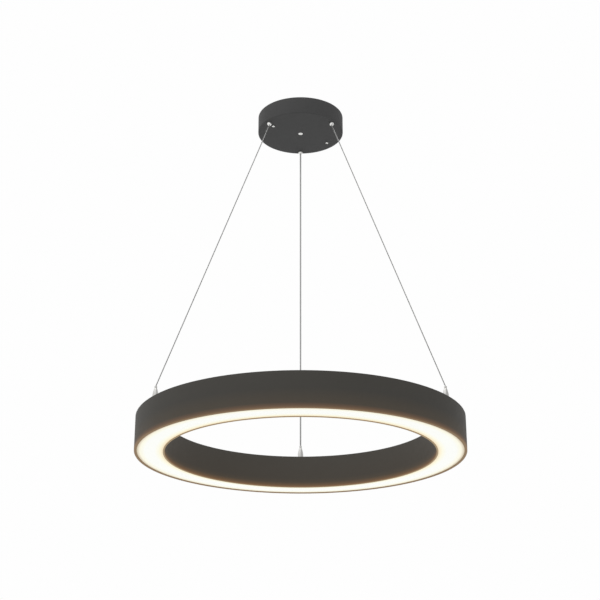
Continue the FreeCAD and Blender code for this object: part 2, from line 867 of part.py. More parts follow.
def make_wire_tail(station):
    """A wire's lower end: down through its gripper, then along the channel."""
    body = new_body(f"wire_tail_{station.side}")
    route = sketch_on(body, "XZ_Plane")
    level = "(-Size.tail_level)"
    turn_start = f"({level} + Size.tail_bend)"
    down = route.addGeometry(
        Part.LineSegment(FreeCAD.Vector(0, 31, 0), FreeCAD.Vector(0, -20, 0)), False
    )
    bend = route.addGeometry(
        Part.Arc(
            FreeCAD.Vector(0, -20, 0),
            FreeCAD.Vector(2.93, -27.07, 0),
            FreeCAD.Vector(10, -30, 0),
        ),
        False,
    )
    along = route.addGeometry(
        Part.LineSegment(FreeCAD.Vector(10, -30, 0), FreeCAD.Vector(50, -30, 0)), False
    )
    fix_point(route, down, 1, "0", "Size.nipple_top")
    fix_point(route, down, 2, "0", turn_start)
    fix_point(route, bend, 1, "0", turn_start)
    fix_point(route, bend, 2, "Size.tail_bend", level)
    index = route.addConstraint(Sketcher.Constraint("Radius", bend, 10.0))
    route.setExpression(f"Constraints[{index}]", "Size.tail_bend")
    fix_point(route, along, 1, "Size.tail_bend", level)
    fix_point(route, along, 2, "Size.tail_run", level)
    section = sketch_on(body, "XY_Plane", "Size.nipple_top")
    circle(section, "0", "0", station.radius)
    doc.recompute()
    sweep = body.newObject("PartDesign::AdditivePipe", "swept")
    sweep.Profile = section
    sweep.Spine = route
    place(body, station.ring_x, station.ring_y, RING_TOP, station.turn)
    return keep(body, f"wire_tail_{station.side}")


# ---------------------------------------------------------------- ring


def make_housing():
    """Rolled channel, open below, with lips round its mouth and holes for the grippers."""
    radius, inner = "Size.ring_radius", INNER_RADIUS
    web = f"({RING_TOP} - Size.ring_web)"
    lip_top = f"({RING_FOOT} + Size.lip_thick)"
    section = [
        (radius, RING_FOOT),
        (radius, RING_TOP),
        (inner, RING_TOP),
        (inner, RING_FOOT),
        (f"{inner} + Size.inner_lip", RING_FOOT),
        (f"{inner} + Size.inner_lip", lip_top),
        (CHANNEL_INNER, lip_top),
        (CHANNEL_INNER, web),
        (CHANNEL_OUTER, web),
        (CHANNEL_OUTER, lip_top),
        (f"{radius} - Size.ring_lip", lip_top),
        (f"{radius} - Size.ring_lip", RING_FOOT),
    ]
    body = turned_body("ring_housing", section)
    outer_edge = SIZES["ring_radius"]
    inner_edge = SIZES["ring_radius"] - SIZES["ring_breadth"]
    foot = -SIZES["drop"]
    top = SIZES["ring_tall"] - SIZES["drop"]

    def is_corner(r, h):
        return (near(r, outer_edge) or near(r, inner_edge)) and (near(h, top) or near(h, foot))

    round_edges(body, "Size.ring_edge", is_corner)
    holes = sketch_on(body, "XY_Plane")
    for station in STATIONS:
        circle(holes, station.ring_x, station.ring_y, "Size.stud_radius")
    pocket(body, holes)
    return keep(body, "ring_housing")


def make_splice():
    """Plate and screws that join the ends of the rolled channel, under its top."""
    level = f"({RING_TOP} - Size.ring_web - Size.splice_thick)"
    middle = f"({MIDDLE_RADIUS} - Size.splice_wide / 2)"
    body = new_body("splice_plate")
    flat = sketch_on(body, "XY_Plane", level)
    block(flat, middle, "0", "Size.splice_wide", "Size.splice_long")
    pad(body, flat, "Size.splice_thick")
    holes = sketch_on(body, "XY_Plane")
    for step in (-1.5, -0.5, 0.5, 1.5):
        circle(holes, middle, f"{step} * Size.splice_screw_pitch", "Size.screw_shank")
    pocket(body, holes)
    keep(body, "splice_plate")
    screws = []
    for number, step in enumerate((-1.5, -0.5, 0.5, 1.5), start=1):
        piece = screw(
            f"splice_screw_{number}",
            "Size.splice_screw_head",
            "Size.splice_screw_tall",
            "Size.screw_shank",
            "Size.splice_thick",
        )
        place(piece, middle, f"{step} * Size.splice_screw_pitch", level)
        screws.append(piece)
    group("splice_screws", screws)


def make_carrier():
    """Aluminium plate that carries the boards, its pillars and its screws."""
    foot = f"({RING_FOOT} + Size.carrier_level)"
    body = new_body("led_carrier")
    flat = sketch_on(body, "XY_Plane", foot)
    circle(flat, "0", "0", f"{CHANNEL_OUTER} - Size.carrier_gap")
    circle(flat, "0", "0", f"{CHANNEL_INNER} + Size.carrier_gap")
    pad(body, flat, "Size.carrier_thick")
    holes = sketch_on(body, "XY_Plane")
    for angle in PILLAR_ANGLES:
        circle(
            holes,
            f"Size.pillar_circle * cos({angle} deg)",
            f"Size.pillar_circle * sin({angle} deg)",
            "Size.carrier_screw_shank",
        )
    for pole in (-1, 1):
        circle(
            holes,
            f"Size.tail_run + Size.connector_long / 2 + {pole} * Size.pin_spread / 2",
            "Size.ring_wire_circle",
            "Size.pin_radius",
        )
    pocket(body, holes)
    keep(body, "led_carrier")

    top = f"({foot} + Size.carrier_thick)"
    tall = "(Size.ring_tall - Size.ring_web - Size.carrier_level - Size.carrier_thick)"
    pillars, screws = [], []
    for number, angle in enumerate(PILLAR_ANGLES, start=1):
        x = f"Size.pillar_circle * cos({angle} deg)"
        y = f"Size.pillar_circle * sin({angle} deg)"
        pillar = hex_nut(f"pillar_{number}", "Size.pillar_radius", tall, "Size.carrier_screw_shank")
        pillars.append(place(pillar, x, y, top))
        piece = screw(
            f"carrier_screw_{number}",
            "Size.carrier_screw_head",
            "Size.carrier_screw_tall",
            "Size.carrier_screw_shank",
            "Size.carrier_screw_long",
        )
        screws.append(place(piece, x, y, foot))
    group("carrier_pillars", pillars)
    group("carrier_screws", screws)


def make_boards():
    """Four arc shaped boards under the carrier, their chips and the bridges between them."""
    level = f"({RING_FOOT} + Size.carrier_level - Size.board_thick)"
    for number in range(BOARD_COUNT):
        outer = doc.addObject("Part::Cylinder", f"board_outer_{number + 1}")
        inner = doc.addObject("Part::Cylinder", f"board_inner_{number + 1}")
        for solid, radius in ((outer, "Size.board_outer"), (inner, "Size.board_inner")):
            solid.setExpression("Radius", radius)
            solid.setExpression("Height", "Size.board_thick")
            solid.setExpression("Angle", "Size.board_sweep")
        board = doc.addObject("Part::Cut", f"led_board_{number + 1}")
        board.Base = outer
        board.Tool = inner
        quarter = 360 / BOARD_COUNT
        place(board, z=level, turn=f"{quarter * number} + ({quarter} - Size.board_sweep) / 2")
        keep(board, f"led_board_{number + 1}")

    chips = []
    count = BOARD_COUNT * CHIPS_PER_BOARD
    for number in range(count):
        angle = 360.0 * (number + 0.5) / count
        chip = doc.addObject("Part::Box", f"chip_{number + 1}")
        chip.setExpression("Length", "Size.chip_wide")
        chip.setExpression("Width", "Size.chip_long")
        chip.setExpression("Height", "Size.chip_tall")
        inner = "(Size.chip_circle - Size.chip_wide / 2)"
        half = "(Size.chip_long / 2)"
        place(
            chip,
            f"{inner} * cos({angle} deg) + {half} * sin({angle} deg)",
            f"{inner} * sin({angle} deg) - {half} * cos({angle} deg)",
            f"{level} - Size.chip_tall",
            f"{angle}",
        )
        chips.append(chip)
    group("led_chips", chips)

    jumpers = []
    for number in range(1, BOARD_COUNT):
        angle = 360 / BOARD_COUNT * number
        for pole in (-1, 1):
            jumper = doc.addObject("Part::Box", f"jumper_{number}_{pole + 2}")
            jumper.setExpression("Length", "Size.jumper_wide")
            jumper.setExpression("Width", "Size.jumper_long")
            jumper.setExpression("Height", "Size.jumper_tall")
            inner = f"(Size.chip_circle + {pole} * Size.jumper_spread - Size.jumper_wide / 2)"
            half = "(Size.jumper_long / 2)"
            place(
                jumper,
                f"{inner} * cos({angle} deg) + {half} * sin({angle} deg)",
                f"{inner} * sin({angle} deg) - {half} * cos({angle} deg)",
                f"{level} - Size.jumper_tall",
                f"{angle}",
            )
            jumpers.append(jumper)
    group("board_jumpers", jumpers)


def make_feed():
    """Connector at the end of the power wire, standing on the carrier, and its pins."""
    top = f"({RING_FOOT} + Size.carrier_level + Size.carrier_thick)"
    body = new_body("feed_connector")
    foot = sketch_on(body, "XY_Plane", top)
    middle = "Size.tail_run + Size.connector_long / 2"
    block(foot, middle, "Size.ring_wire_circle", "Size.connector_long", "Size.connector_wide")
    pad(body, foot, "Size.connector_tall")
    keep(body, "feed_connector")
    pins = []
    for pole in (-1, 1):
        pin = doc.addObject("Part::Cylinder", f"feed_pin_{pole + 2}")
        pin.setExpression("Radius", "Size.pin_radius")
        pin.setExpression("Height", "Size.carrier_thick")
        place(
            pin,
            f"{middle} + {pole} * Size.pin_spread / 2",
            "Size.ring_wire_circle",
            f"{top} - Size.carrier_thick",
        )
        pins.append(pin)
    group("feed_pins", pins)


def make_diffuser():
    """Opal ring on the lips, with two legs that spring against the walls."""
    foot = f"({RING_FOOT} + Size.lip_thick)"
    plate_top = f"({foot} + Size.diffuser_thick)"
    leg_top = f"({foot} + Size.leg_tall)"
    outer = f"({CHANNEL_OUTER} - Size.diffuser_gap)"
    inner = f"({CHANNEL_INNER} + Size.diffuser_gap)"
    section = [
        (inner, foot),
        (outer, foot),
        (outer, leg_top),
        (f"{outer} - Size.leg_thick", leg_top),
        (f"{outer} - Size.leg_thick", plate_top),
        (f"{inner} + Size.leg_thick", plate_top),
        (f"{inner} + Size.leg_thick", leg_top),
        (inner, leg_top),
    ]
    return keep(turned_body("diffuser", section), "diffuser")


# ---------------------------------------------------------------- assembly


def check_and_export():
    """Stop on any failed object or faulty shape, then write one file per sub-part."""
    doc.recompute()
    failed = [item for item in doc.Objects if "Invalid" in item.State or "Error" in item.State]
    if failed:
        named = [f"{item.Name} in {[user.Label for user in item.InList]}" for item in failed]
        raise RuntimeError(f"failed: {named}")
    for node in nodes:
        shape = node.Shape
        if shape.isNull() or not shape.isValid() or not shape.Solids:
            raise RuntimeError(f"{node.Label} has no valid solid")
    os.makedirs("parts", exist_ok=True)
    for node in nodes:
        node.Shape.exportStep(f"parts/{node.Label}.step")
        print(node.Label, len(node.Shape.Solids), round(node.Shape.Volume, 2))


def main():
    fill_sheet()
    make_ceiling_plate()
    make_standoffs()
    make_grommet()
    make_canopy_cup()
    make_canopy_screws()
    make_centre_plug()
    for station in STATIONS:
        make_bushing(station)
    make_bushing_nuts()
    for station in STATIONS:
        make_anchor(station)
    make_driver()
    make_terminals()
    make_earth()
    make_canopy_leads()
    for station in STATIONS:
        make_wire(station)
    make_housing()
    make_splice()
    make_carrier()
    make_boards()
    make_feed()
    make_diffuser()
    for station in STATIONS:
        make_gripper(station)
    make_gripper_nuts()
    for station in STATIONS:
        make_wire_tail(station)
    check_and_export()


main()
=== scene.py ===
"""The looks of a ring pendant lamp on three wires, in metres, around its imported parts."""

import logging
import math
from dataclasses import dataclass, field
from enum import Enum
from typing import Any, Callable, Mapping, Sequence

import bmesh
import bpy
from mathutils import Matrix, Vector


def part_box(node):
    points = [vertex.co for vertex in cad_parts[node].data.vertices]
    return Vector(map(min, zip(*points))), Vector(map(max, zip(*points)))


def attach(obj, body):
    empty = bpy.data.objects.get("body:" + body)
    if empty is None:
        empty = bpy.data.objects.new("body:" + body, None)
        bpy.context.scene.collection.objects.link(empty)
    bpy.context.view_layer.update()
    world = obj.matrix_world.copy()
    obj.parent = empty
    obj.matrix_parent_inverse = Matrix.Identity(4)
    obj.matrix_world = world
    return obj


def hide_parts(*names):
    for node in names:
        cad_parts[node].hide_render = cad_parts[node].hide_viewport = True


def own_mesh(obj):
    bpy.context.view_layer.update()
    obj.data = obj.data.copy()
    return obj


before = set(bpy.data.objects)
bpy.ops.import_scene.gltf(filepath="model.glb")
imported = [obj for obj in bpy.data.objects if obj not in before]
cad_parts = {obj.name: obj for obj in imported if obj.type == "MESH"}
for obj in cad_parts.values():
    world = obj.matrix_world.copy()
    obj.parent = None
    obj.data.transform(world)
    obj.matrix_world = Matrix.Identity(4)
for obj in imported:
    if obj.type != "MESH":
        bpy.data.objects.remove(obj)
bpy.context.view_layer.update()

LOG = logging.getLogger("ring_pendant")
MM = 0.001
# far shorter than any edge of the lamp
HAIR = 1e-6
Section = Sequence[tuple[float, float]]
Socket = bpy.types.NodeSocket
Colour = tuple[float, float, float, float]


# ---------------------------------------------------------------- names


class Body(Enum):
    """The bodies that pieces ride on."""

    CANOPY = "canopy"
    RING = "ring"


class Slot(Enum):
    """The record's finish slots."""

    CANOPY_PAINT = "anthracite_steel"
    RING_PAINT = "anthracite_aluminium"
    ZINC = "zinc_plated_steel"
    RUBBER = "black_rubber"
    BRIGHT_NICKEL = "bright_nickel"
    NICKEL_BRASS = "nickel_plated_brass"
    ROPE = "steel_rope"
    POWER_WIRE = "clad_power_wire"
    DRIVER = "driver_plastic"
    BOARD = "circuit_board"
    COMPONENT = "dark_component"
    TERMINAL = "terminal_plastic"
    INSULATION = "lead_insulation"
    CARRIER = "bare_aluminium"
    LED_BOARD = "white_led_board"
    LED_CHIP = "led_chip"
    TINNED = "tinned_copper"
    OPAL = "opal_diffuser"
    SPRING = "spring_steel"


class Ends(Enum):
    """How a turned section is closed."""

    JOINED = "the last corner joins the first"
    CAPPED = "both ends get a flat face"


class Cutting(Enum):
    """How a metal part's surface was worked, which sets the run of its fine lines."""

    TURNED = "rings round the piece's own axis"
    DRAWN = "lines along the piece"
    CAST = "no direction"


@dataclass(frozen=True)
class Station:
    """One of the three suspension points.

    Args:
        side: its name in the pieces' names.
        canopy_angle: direction of the wire's upper end from the axis, in degrees.
        ring_angle: direction of the wire's lower end from the axis, in degrees.
        radius: half of the wire's thickness.
    """

    side: str
    canopy_angle: float
    ring_angle: float
    radius: float

    @property
    def top(self) -> Vector:
        """Where the wire leaves its bushing."""
        return polar(CANOPY_WIRE_CIRCLE, self.canopy_angle, WIRE_TOP)

    @property
    def foot(self) -> Vector:
        """Where the wire enters its gripper."""
        return polar(RING_WIRE_CIRCLE, self.ring_angle, WIRE_FOOT)

    @property
    def grip(self) -> Vector:
        """The gripper's seat on the ring's upper face."""
        return polar(RING_WIRE_CIRCLE, self.ring_angle, RING_TOP)

    @property
    def release(self) -> str:
        """The body of the gripper's release plunger."""
        return f"release_{self.side}"


def polar(radius: float, degrees: float, height: float) -> Vector:
    """A point at a radius and a direction round the lamp's axis."""
    turn = math.radians(degrees)
    return Vector((radius * math.cos(turn), radius * math.sin(turn), height))


RING_LOW, RING_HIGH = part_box("ring_housing")
CUP_LOW, CUP_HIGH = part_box("canopy_cup")
RING_FOOT = RING_LOW.z
RING_TOP = RING_HIGH.z
RING_RADIUS = RING_HIGH.x
RING_BREADTH = 54.5 * MM
OUTER_LIP = 4.8 * MM
INNER_LIP = 2.8 * MM
CUP_RADIUS = CUP_HIGH.x
CUP_FLOOR = CUP_LOW.z
WIRE_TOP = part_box("bushing_left")[0].z
WIRE_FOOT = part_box("gripper_plunger_left")[1].z
CANOPY_WIRE_CIRCLE = 75.5 * MM
RING_WIRE_CIRCLE = 280.0 * MM
SUSPENSION_RADIUS = 1.0 * MM
POWER_RADIUS = 1.5 * MM
STATIONS = (
    Station("left", 215.8, 205.0, SUSPENSION_RADIUS),
    Station("right", 324.2, 335.0, SUSPENSION_RADIUS),
    Station("far", 90.0, 90.0, POWER_RADIUS),
)


# ---------------------------------------------------------------- node trees


def linear(code: str) -> Colour:
    """Turns an sRGB hex value into the linear colour that shaders take.

    Args:
        code: six hex digits, as in "4a4a48".

    Returns:
        Red, green, blue and an alpha of 1.
    """
    parts = [int(code[at : at + 2], 16) / 255 for at in (0, 2, 4)]
    bright = [p / 12.92 if p <= 0.04045 else ((p + 0.055) / 1.055) ** 2.4 for p in parts]
    return (bright[0], bright[1], bright[2], 1.0)


def add_node(
    tree: bpy.types.NodeTree,
    kind: str,
    settings: Mapping[str, Any] | None = None,
    values: Mapping[str | int, Any] | None = None,
    links: Mapping[str | int, Socket] | None = None,
) -> bpy.types.Node:
    """Adds a node with its settings, its socket values and its incoming links.

    Args:
        tree: the node tree that gets the node.
        kind: the node's type.
        settings: its properties by name.
        values: plain values by socket name or number.
        links: sockets to read from, by socket name or number.

    Returns:
        The new node.
    """
    node = tree.nodes.new(kind)
    for name, value in (settings or {}).items():
        setattr(node, name, value)
    for name, value in (values or {}).items():
        node.inputs[name].default_value = value
    for name, source in (links or {}).items():
        tree.links.new(source, node.inputs[name])
    return node


def set_ramp(node: bpy.types.Node, stops: Sequence[tuple[float, Colour]]) -> None:
    """Gives a colour ramp its stops.

    Args:
        node: the colour ramp.
        stops: position and colour of each stop, in order.
    """
    ramp = node.color_ramp
    while len(ramp.elements) > 1:
        ramp.elements.remove(ramp.elements[-1])
    ramp.elements[0].position = stops[0][0]
    ramp.elements[0].color = stops[0][1]
    for position, colour in stops[1:]:
        ramp.elements.new(position).color = colour


def flat_radius(tree: bpy.types.NodeTree, place: Socket) -> Socket:
    """The distance from the lamp's axis, whatever the height.

    Args:
        tree: the material's tree.
        place: the point that is asked about.

    Returns:
        The distance, in metres.
    """
    parts = add_node(tree, "ShaderNodeSeparateXYZ", links={"Vector": place})
    flat = add_node(
        tree,
        "ShaderNodeCombineXYZ",
        links={"X": parts.outputs["X"], "Y": parts.outputs["Y"]},
    )
    length = add_node(
        tree,
        "ShaderNodeVectorMath",
        settings={"operation": "LENGTH"},
        links={0: flat.outputs["Vector"]},
    )
    return length.outputs["Value"]


def part_way(tree: bpy.types.NodeTree, value: Socket, start: float, run: float) -> Socket:
    """How far a value has gone along a run, from 0 to 1.

    Args:
        tree: the material's tree.
        value: the value.
        start: where the run starts.
        run: its length, negative for a falling run.

    Returns:
        The share of the run.
    """
    limits = {"From Min": start, "From Max": start + run}
    node = add_node(tree, "ShaderNodeMapRange", values=limits, links={"Value": value})
    return node.outputs["Result"]


def falloff(
    tree: bpy.types.NodeTree, value: Socket, zero: float, stops: Sequence[tuple[float, str]]
) -> Socket:
    """The light that a place gets at a distance.

    Args:
        tree: the material's tree.
        value: what the distance is read from.
        zero: the value at no distance.
        stops: the light's sRGB value at each distance, in rising order.

    Returns:
        The light's colour.
    """
    first, last = stops[0][0], stops[-1][0]
    share = part_way(tree, value, zero + first, last - first)
    light = add_node(tree, "ShaderNodeValToRGB", links={"Fac": share})
    set_ramp(light, [((away - first) / (last - first), linear(tone)) for away, tone in stops])
    return light.outputs["Color"]


def combine(tree: bpy.types.NodeTree, way: str, first: Socket, second: Socket) -> Socket:
    """Combines two values in a maths node.

    Args:
        tree: the tree that gets the node.
        way: the node's operation.
        first: its first value.
        second: its second value.

    Returns:
        The result.
    """
    settings = {"operation": way}
    node = add_node(tree, "ShaderNodeMath", settings=settings, links={0: first, 1: second})
    return node.outputs["Value"]


def empty_tree(owner: bpy.types.Material | bpy.types.World) -> bpy.types.NodeTree:
    """Gives a material or the world a node tree with nothing in it.

    Args:
        owner: the material or the world.

    Returns:
        Its tree.
    """
    owner.use_nodes = True
    owner.node_tree.nodes.clear()
    return owner.node_tree


@dataclass(frozen=True)
class Finish:
    """A real material with its surface treatment, and what all of them share.

    Args:
        name: the material's common name and how its surface was made.
        colour: its sRGB value.
        shade: the sRGB value of its darker spots.
        roughness: its mean roughness.
        unevenness: how far the roughness swings to each side.
        patch: size of the slow tone changes, in metres.
        grain: size of the finest relief, in metres.
        relief: height of that relief, in metres.
    """

    name: str
    colour: str
    shade: str
    roughness: float
    unevenness: float = 0.04
    patch: float = 40 * MM
    grain: float = 0.5 * MM
    relief: float = 0.01 * MM

    def material(self) -> bpy.types.Material:
        """Builds the node material.

        Returns:
            The material, ready to be assigned.
        """
        made = bpy.data.materials.new(self.name)
        made.use_nodes = True
        tree = made.node_tree
        shader = tree.nodes["Principled BSDF"]
        place = add_node(tree, "ShaderNodeTexCoord").outputs["Object"]
        self.tone(tree, shader, place)
        self.surface(tree, shader, place)
        self.extras(tree, shader, place)
        return made

    def noise(self, tree: bpy.types.NodeTree, place: Socket, size: float, detail: float) -> Socket:
        """A noise whose lumps have a real size.

        Args:
            tree: the material's tree.
            place: where the noise is read.
            size: breadth of a lump, in metres.
            detail: octaves of finer lumps.

        Returns:
            The noise's value, from 0 to 1.
        """
        values = {"Scale": 1.0 / size, "Detail": detail, "Roughness": 0.55}
        node = add_node(tree, "ShaderNodeTexNoise", values=values, links={"Vector": place})
        return node.outputs["Fac"]

    def tone(self, tree: bpy.types.NodeTree, shader: bpy.types.Node, place: Socket) -> None:
        """Lets the colour drift between its two values.

        Args:
            tree: the material's tree.
            shader: its shader.
            place: where the finish is read.
        """
        slow = self.noise(tree, place, self.patch, 3.0)
        blend = add_node(
            tree,
            "ShaderNodeMix",
            settings={"data_type": "RGBA"},
            values={6: linear(self.shade), 7: linear(self.colour)},
            links={0: slow},
        )
        tree.links.new(blend.outputs[2], shader.inputs["Base Color"])

    def surface(self, tree: bpy.types.NodeTree, shader: bpy.types.Node, place: Socket) -> None:
        """Gives the finish its uneven gloss and its fine relief."""
        self.vary_gloss(tree, shader, self.noise(tree, place, self.patch / 3, 4.0))
        self.raise_relief(tree, shader, self.noise(tree, place, self.grain, 2.0))

    def vary_gloss(
        self, tree: bpy.types.NodeTree, shader: bpy.types.Node, pattern: Socket
    ) -> None:
        """Lets the roughness swing with a pattern.

        Args:
            tree: the material's tree.
            shader: its shader.
            pattern: a value from 0 to 1 at every place.
        """
        limits = {
            "To Min": self.roughness - self.unevenness,
            "To Max": self.roughness + self.unevenness,
        }
        gloss = add_node(tree, "ShaderNodeMapRange", values=limits, links={"Value": pattern})
        tree.links.new(gloss.outputs["Result"], shader.inputs["Roughness"])

    def raise_relief(
        self, tree: bpy.types.NodeTree, shader: bpy.types.Node, height: Socket
    ) -> None:
        """Turns a height pattern into the shader's normals.

        Args:
            tree: the material's tree.
            shader: its shader.
            height: the pattern, from 0 to 1.
        """
        bump = add_node(
            tree,
            "ShaderNodeBump",
            values={"Strength": 1.0, "Distance": self.relief},
            links={"Height": height},
        )
        tree.links.new(bump.outputs["Normal"], shader.inputs["Normal"])

    def extras(self, tree: bpy.types.NodeTree, shader: bpy.types.Node, place: Socket) -> None:
        """What only some finishes have."""


@dataclass(frozen=True)
class PowderCoat(Finish):
    """Powder coating: a matt film, with a fine orange peel, that dulls every reflection.

    Args:
        sheen_level: specular level of the film.
        painted_glow: whether warm light is painted on the coat, as emission, near the ring's
            mouth.
    """

    sheen_level: float = 0.25
    painted_glow: bool = False

    def extras(self, tree: bpy.types.NodeTree, shader: bpy.types.Node, place: Socket) -> None:
        """Sets the film's gloss, and the warm light painted on the coat as emission near the
        ring's mouth.

        Args:
            tree: the material's tree.
            shader: its shader.
            place: where the finish is read.
        """
        shader.inputs["Specular IOR Level"].default_value = self.sheen_level
        shader.inputs["IOR"].default_value = 1.5
        if not self.painted_glow:
            return
        # painted warm light: emission on the coat, strongest at the mouth and dimmer with height,
        # one ramp for the outer wall and one for the inner
        start = RING_RADIUS - PAINTED_LIGHT_SHARE * RING_BREADTH
        run = (2 * PAINTED_LIGHT_SHARE - 1) * RING_BREADTH
        inside = part_way(tree, flat_radius(tree, place), start, run)
        parts = add_node(tree, "ShaderNodeSeparateXYZ", links={"Vector": place}).outputs
        outer = falloff(tree, parts["Z"], RING_FOOT, PAINTED_GLOW_OUTSIDE)
        inner = falloff(tree, parts["Z"], RING_FOOT, PAINTED_GLOW_INSIDE)
        walls = add_node(
            tree,
            "ShaderNodeMix",
            settings={"data_type": "RGBA"},
            links={0: inside, 6: outer, 7: inner},
        )
        tree.links.new(walls.outputs[2], shader.inputs["Emission Color"])
        shader.inputs["Emission Strength"].default_value = 1.0


# share of the ring's breadth, at each side, that takes the painted warm light of the wall beside
# it
PAINTED_LIGHT_SHARE = 0.1
# warm light painted on each wall of the ring, as emission, at a height above the mouth
PAINTED_GLOW_OUTSIDE = (
    (0.0 * MM, "7a6040"),
    (1.5 * MM, "60452a"),
    (5.0 * MM, "48301a"),
    (9.0 * MM, "281e10"),
    (34.0 * MM, "0b0a08"),
)
PAINTED_GLOW_INSIDE = (
    (0.0 * MM, "96805f"),
    (1.5 * MM, "745230"),
    (4.0 * MM, "583d1f"),
    (10.0 * MM, "302415"),
    (18.0 * MM, "221b13"),
    (63.0 * MM, "1e1a15"),
)


@dataclass(frozen=True)
class Metal(Finish):
    """Bare or plated metal: clear reflections, drawn out by the fine lines of its cutting.

    Args:
        cutting: how the lines run.
        line: spacing of the lines, in metres.
    """

    cutting: Cutting = Cutting.CAST
    line: float = 0.35 * MM

    def surface(self, tree: bpy.types.NodeTree, shader: bpy.types.Node, place: Socket) -> None:
        """Adds the lines of the cutting to the gloss and to the relief.

        Args:
            tree: the material's tree.
            shader: its shader.
            place: where the finish is read.
        """
        shader.inputs["Metallic"].default_value = 1.0
        if self.cutting is Cutting.CAST:
            super().surface(tree, shader, place)
            return
        stretch = (1.0, 1.0, 8.0) if self.cutting is Cutting.TURNED else (8.0, 8.0, 0.5)
        worked = {"Scale": stretch}
        drawn = add_node(tree, "ShaderNodeMapping", values=worked, links={"Vector": place})
        lines = self.noise(tree, drawn.outputs["Vector"], self.line * 8, 2.0)
        self.vary_gloss(tree, shader, lines)
        self.raise_relief(tree, shader, lines)


@dataclass(frozen=True)
class OpalSheet(Finish):
    """Opal acrylic sheet, lit from behind: an even milky white that warms towards its rims.

    Args:
        inner: radius of the mouth's inner lip, in metres.
        outer: radius of the mouth's outer lip, in metres.
    """

    inner: float = RING_RADIUS - RING_BREADTH + INNER_LIP
    outer: float = RING_RADIUS - OUTER_LIP

    def extras(self, tree: bpy.types.NodeTree, shader: bpy.types.Node, place: Socket) -> None:
        """Lights the sheet, warmer beside both lips and dimmer beside the outer one.

        Args:
            tree: the material's tree.
            shader: its shader.
            place: where the finish is read.
        """
        shader.inputs["IOR"].default_value = 1.49
        breadth = self.outer - self.inner
        across = part_way(tree, flat_radius(tree, place), self.inner, breadth)
        stops = [(away / breadth, linear(tone)) for away, tone in OPAL_INSIDE]
        stops += [(1.0 - away / breadth, linear(tone)) for away, tone in reversed(OPAL_OUTSIDE)]
        light = add_node(tree, "ShaderNodeValToRGB", links={"Fac": across})
        set_ramp(light, stops)
        tree.links.new(light.outputs["Color"], shader.inputs["Emission Color"])
        shader.inputs["Emission Strength"].default_value = 1.0


# the sheet's light at a distance from the inner and from the outer lip
OPAL_INSIDE = (
    (0.0 * MM, "c4ad82"),
    (3.5 * MM, "cdc09a"),
    (7.5 * MM, "ceccb5"),
    (15.0 * MM, "cccecb"),
)
OPAL_OUTSIDE = (
    (0.0 * MM, "85713f"),
    (2.9 * MM, "b1a48a"),
    (6.0 * MM, "cdcab2"),
    (15.0 * MM, "cccecb"),
)


@dataclass(frozen=True)
class CladWire(Finish):
    """Clear PVC cladding over tinned strands: satin grey with faint slanting lines."""

    def surface(self, tree: bpy.types.NodeTree, shader: bpy.types.Node, place: Socket) -> None:
        """Draws the strands' slanting lines along the cladding's own length.

        Args:
            tree: the material's tree.
            shader: its shader.
            place: where the finish is read.
        """
        shader.inputs["IOR"].default_value = 1.53
        own = add_node(tree, "ShaderNodeUVMap", settings={"uv_map": "length"}).outputs["UV"]
        lines = add_node(
            tree,
            "ShaderNodeTexWave",
            settings={"wave_type": "BANDS", "bands_direction": "DIAGONAL"},
            values={"Scale": 1.0, "Distortion": 0.3},
            links={"Vector": own},
        )
        self.vary_gloss(tree, shader, lines.outputs["Fac"])
        self.raise_relief(tree, shader, lines.outputs["Fac"])


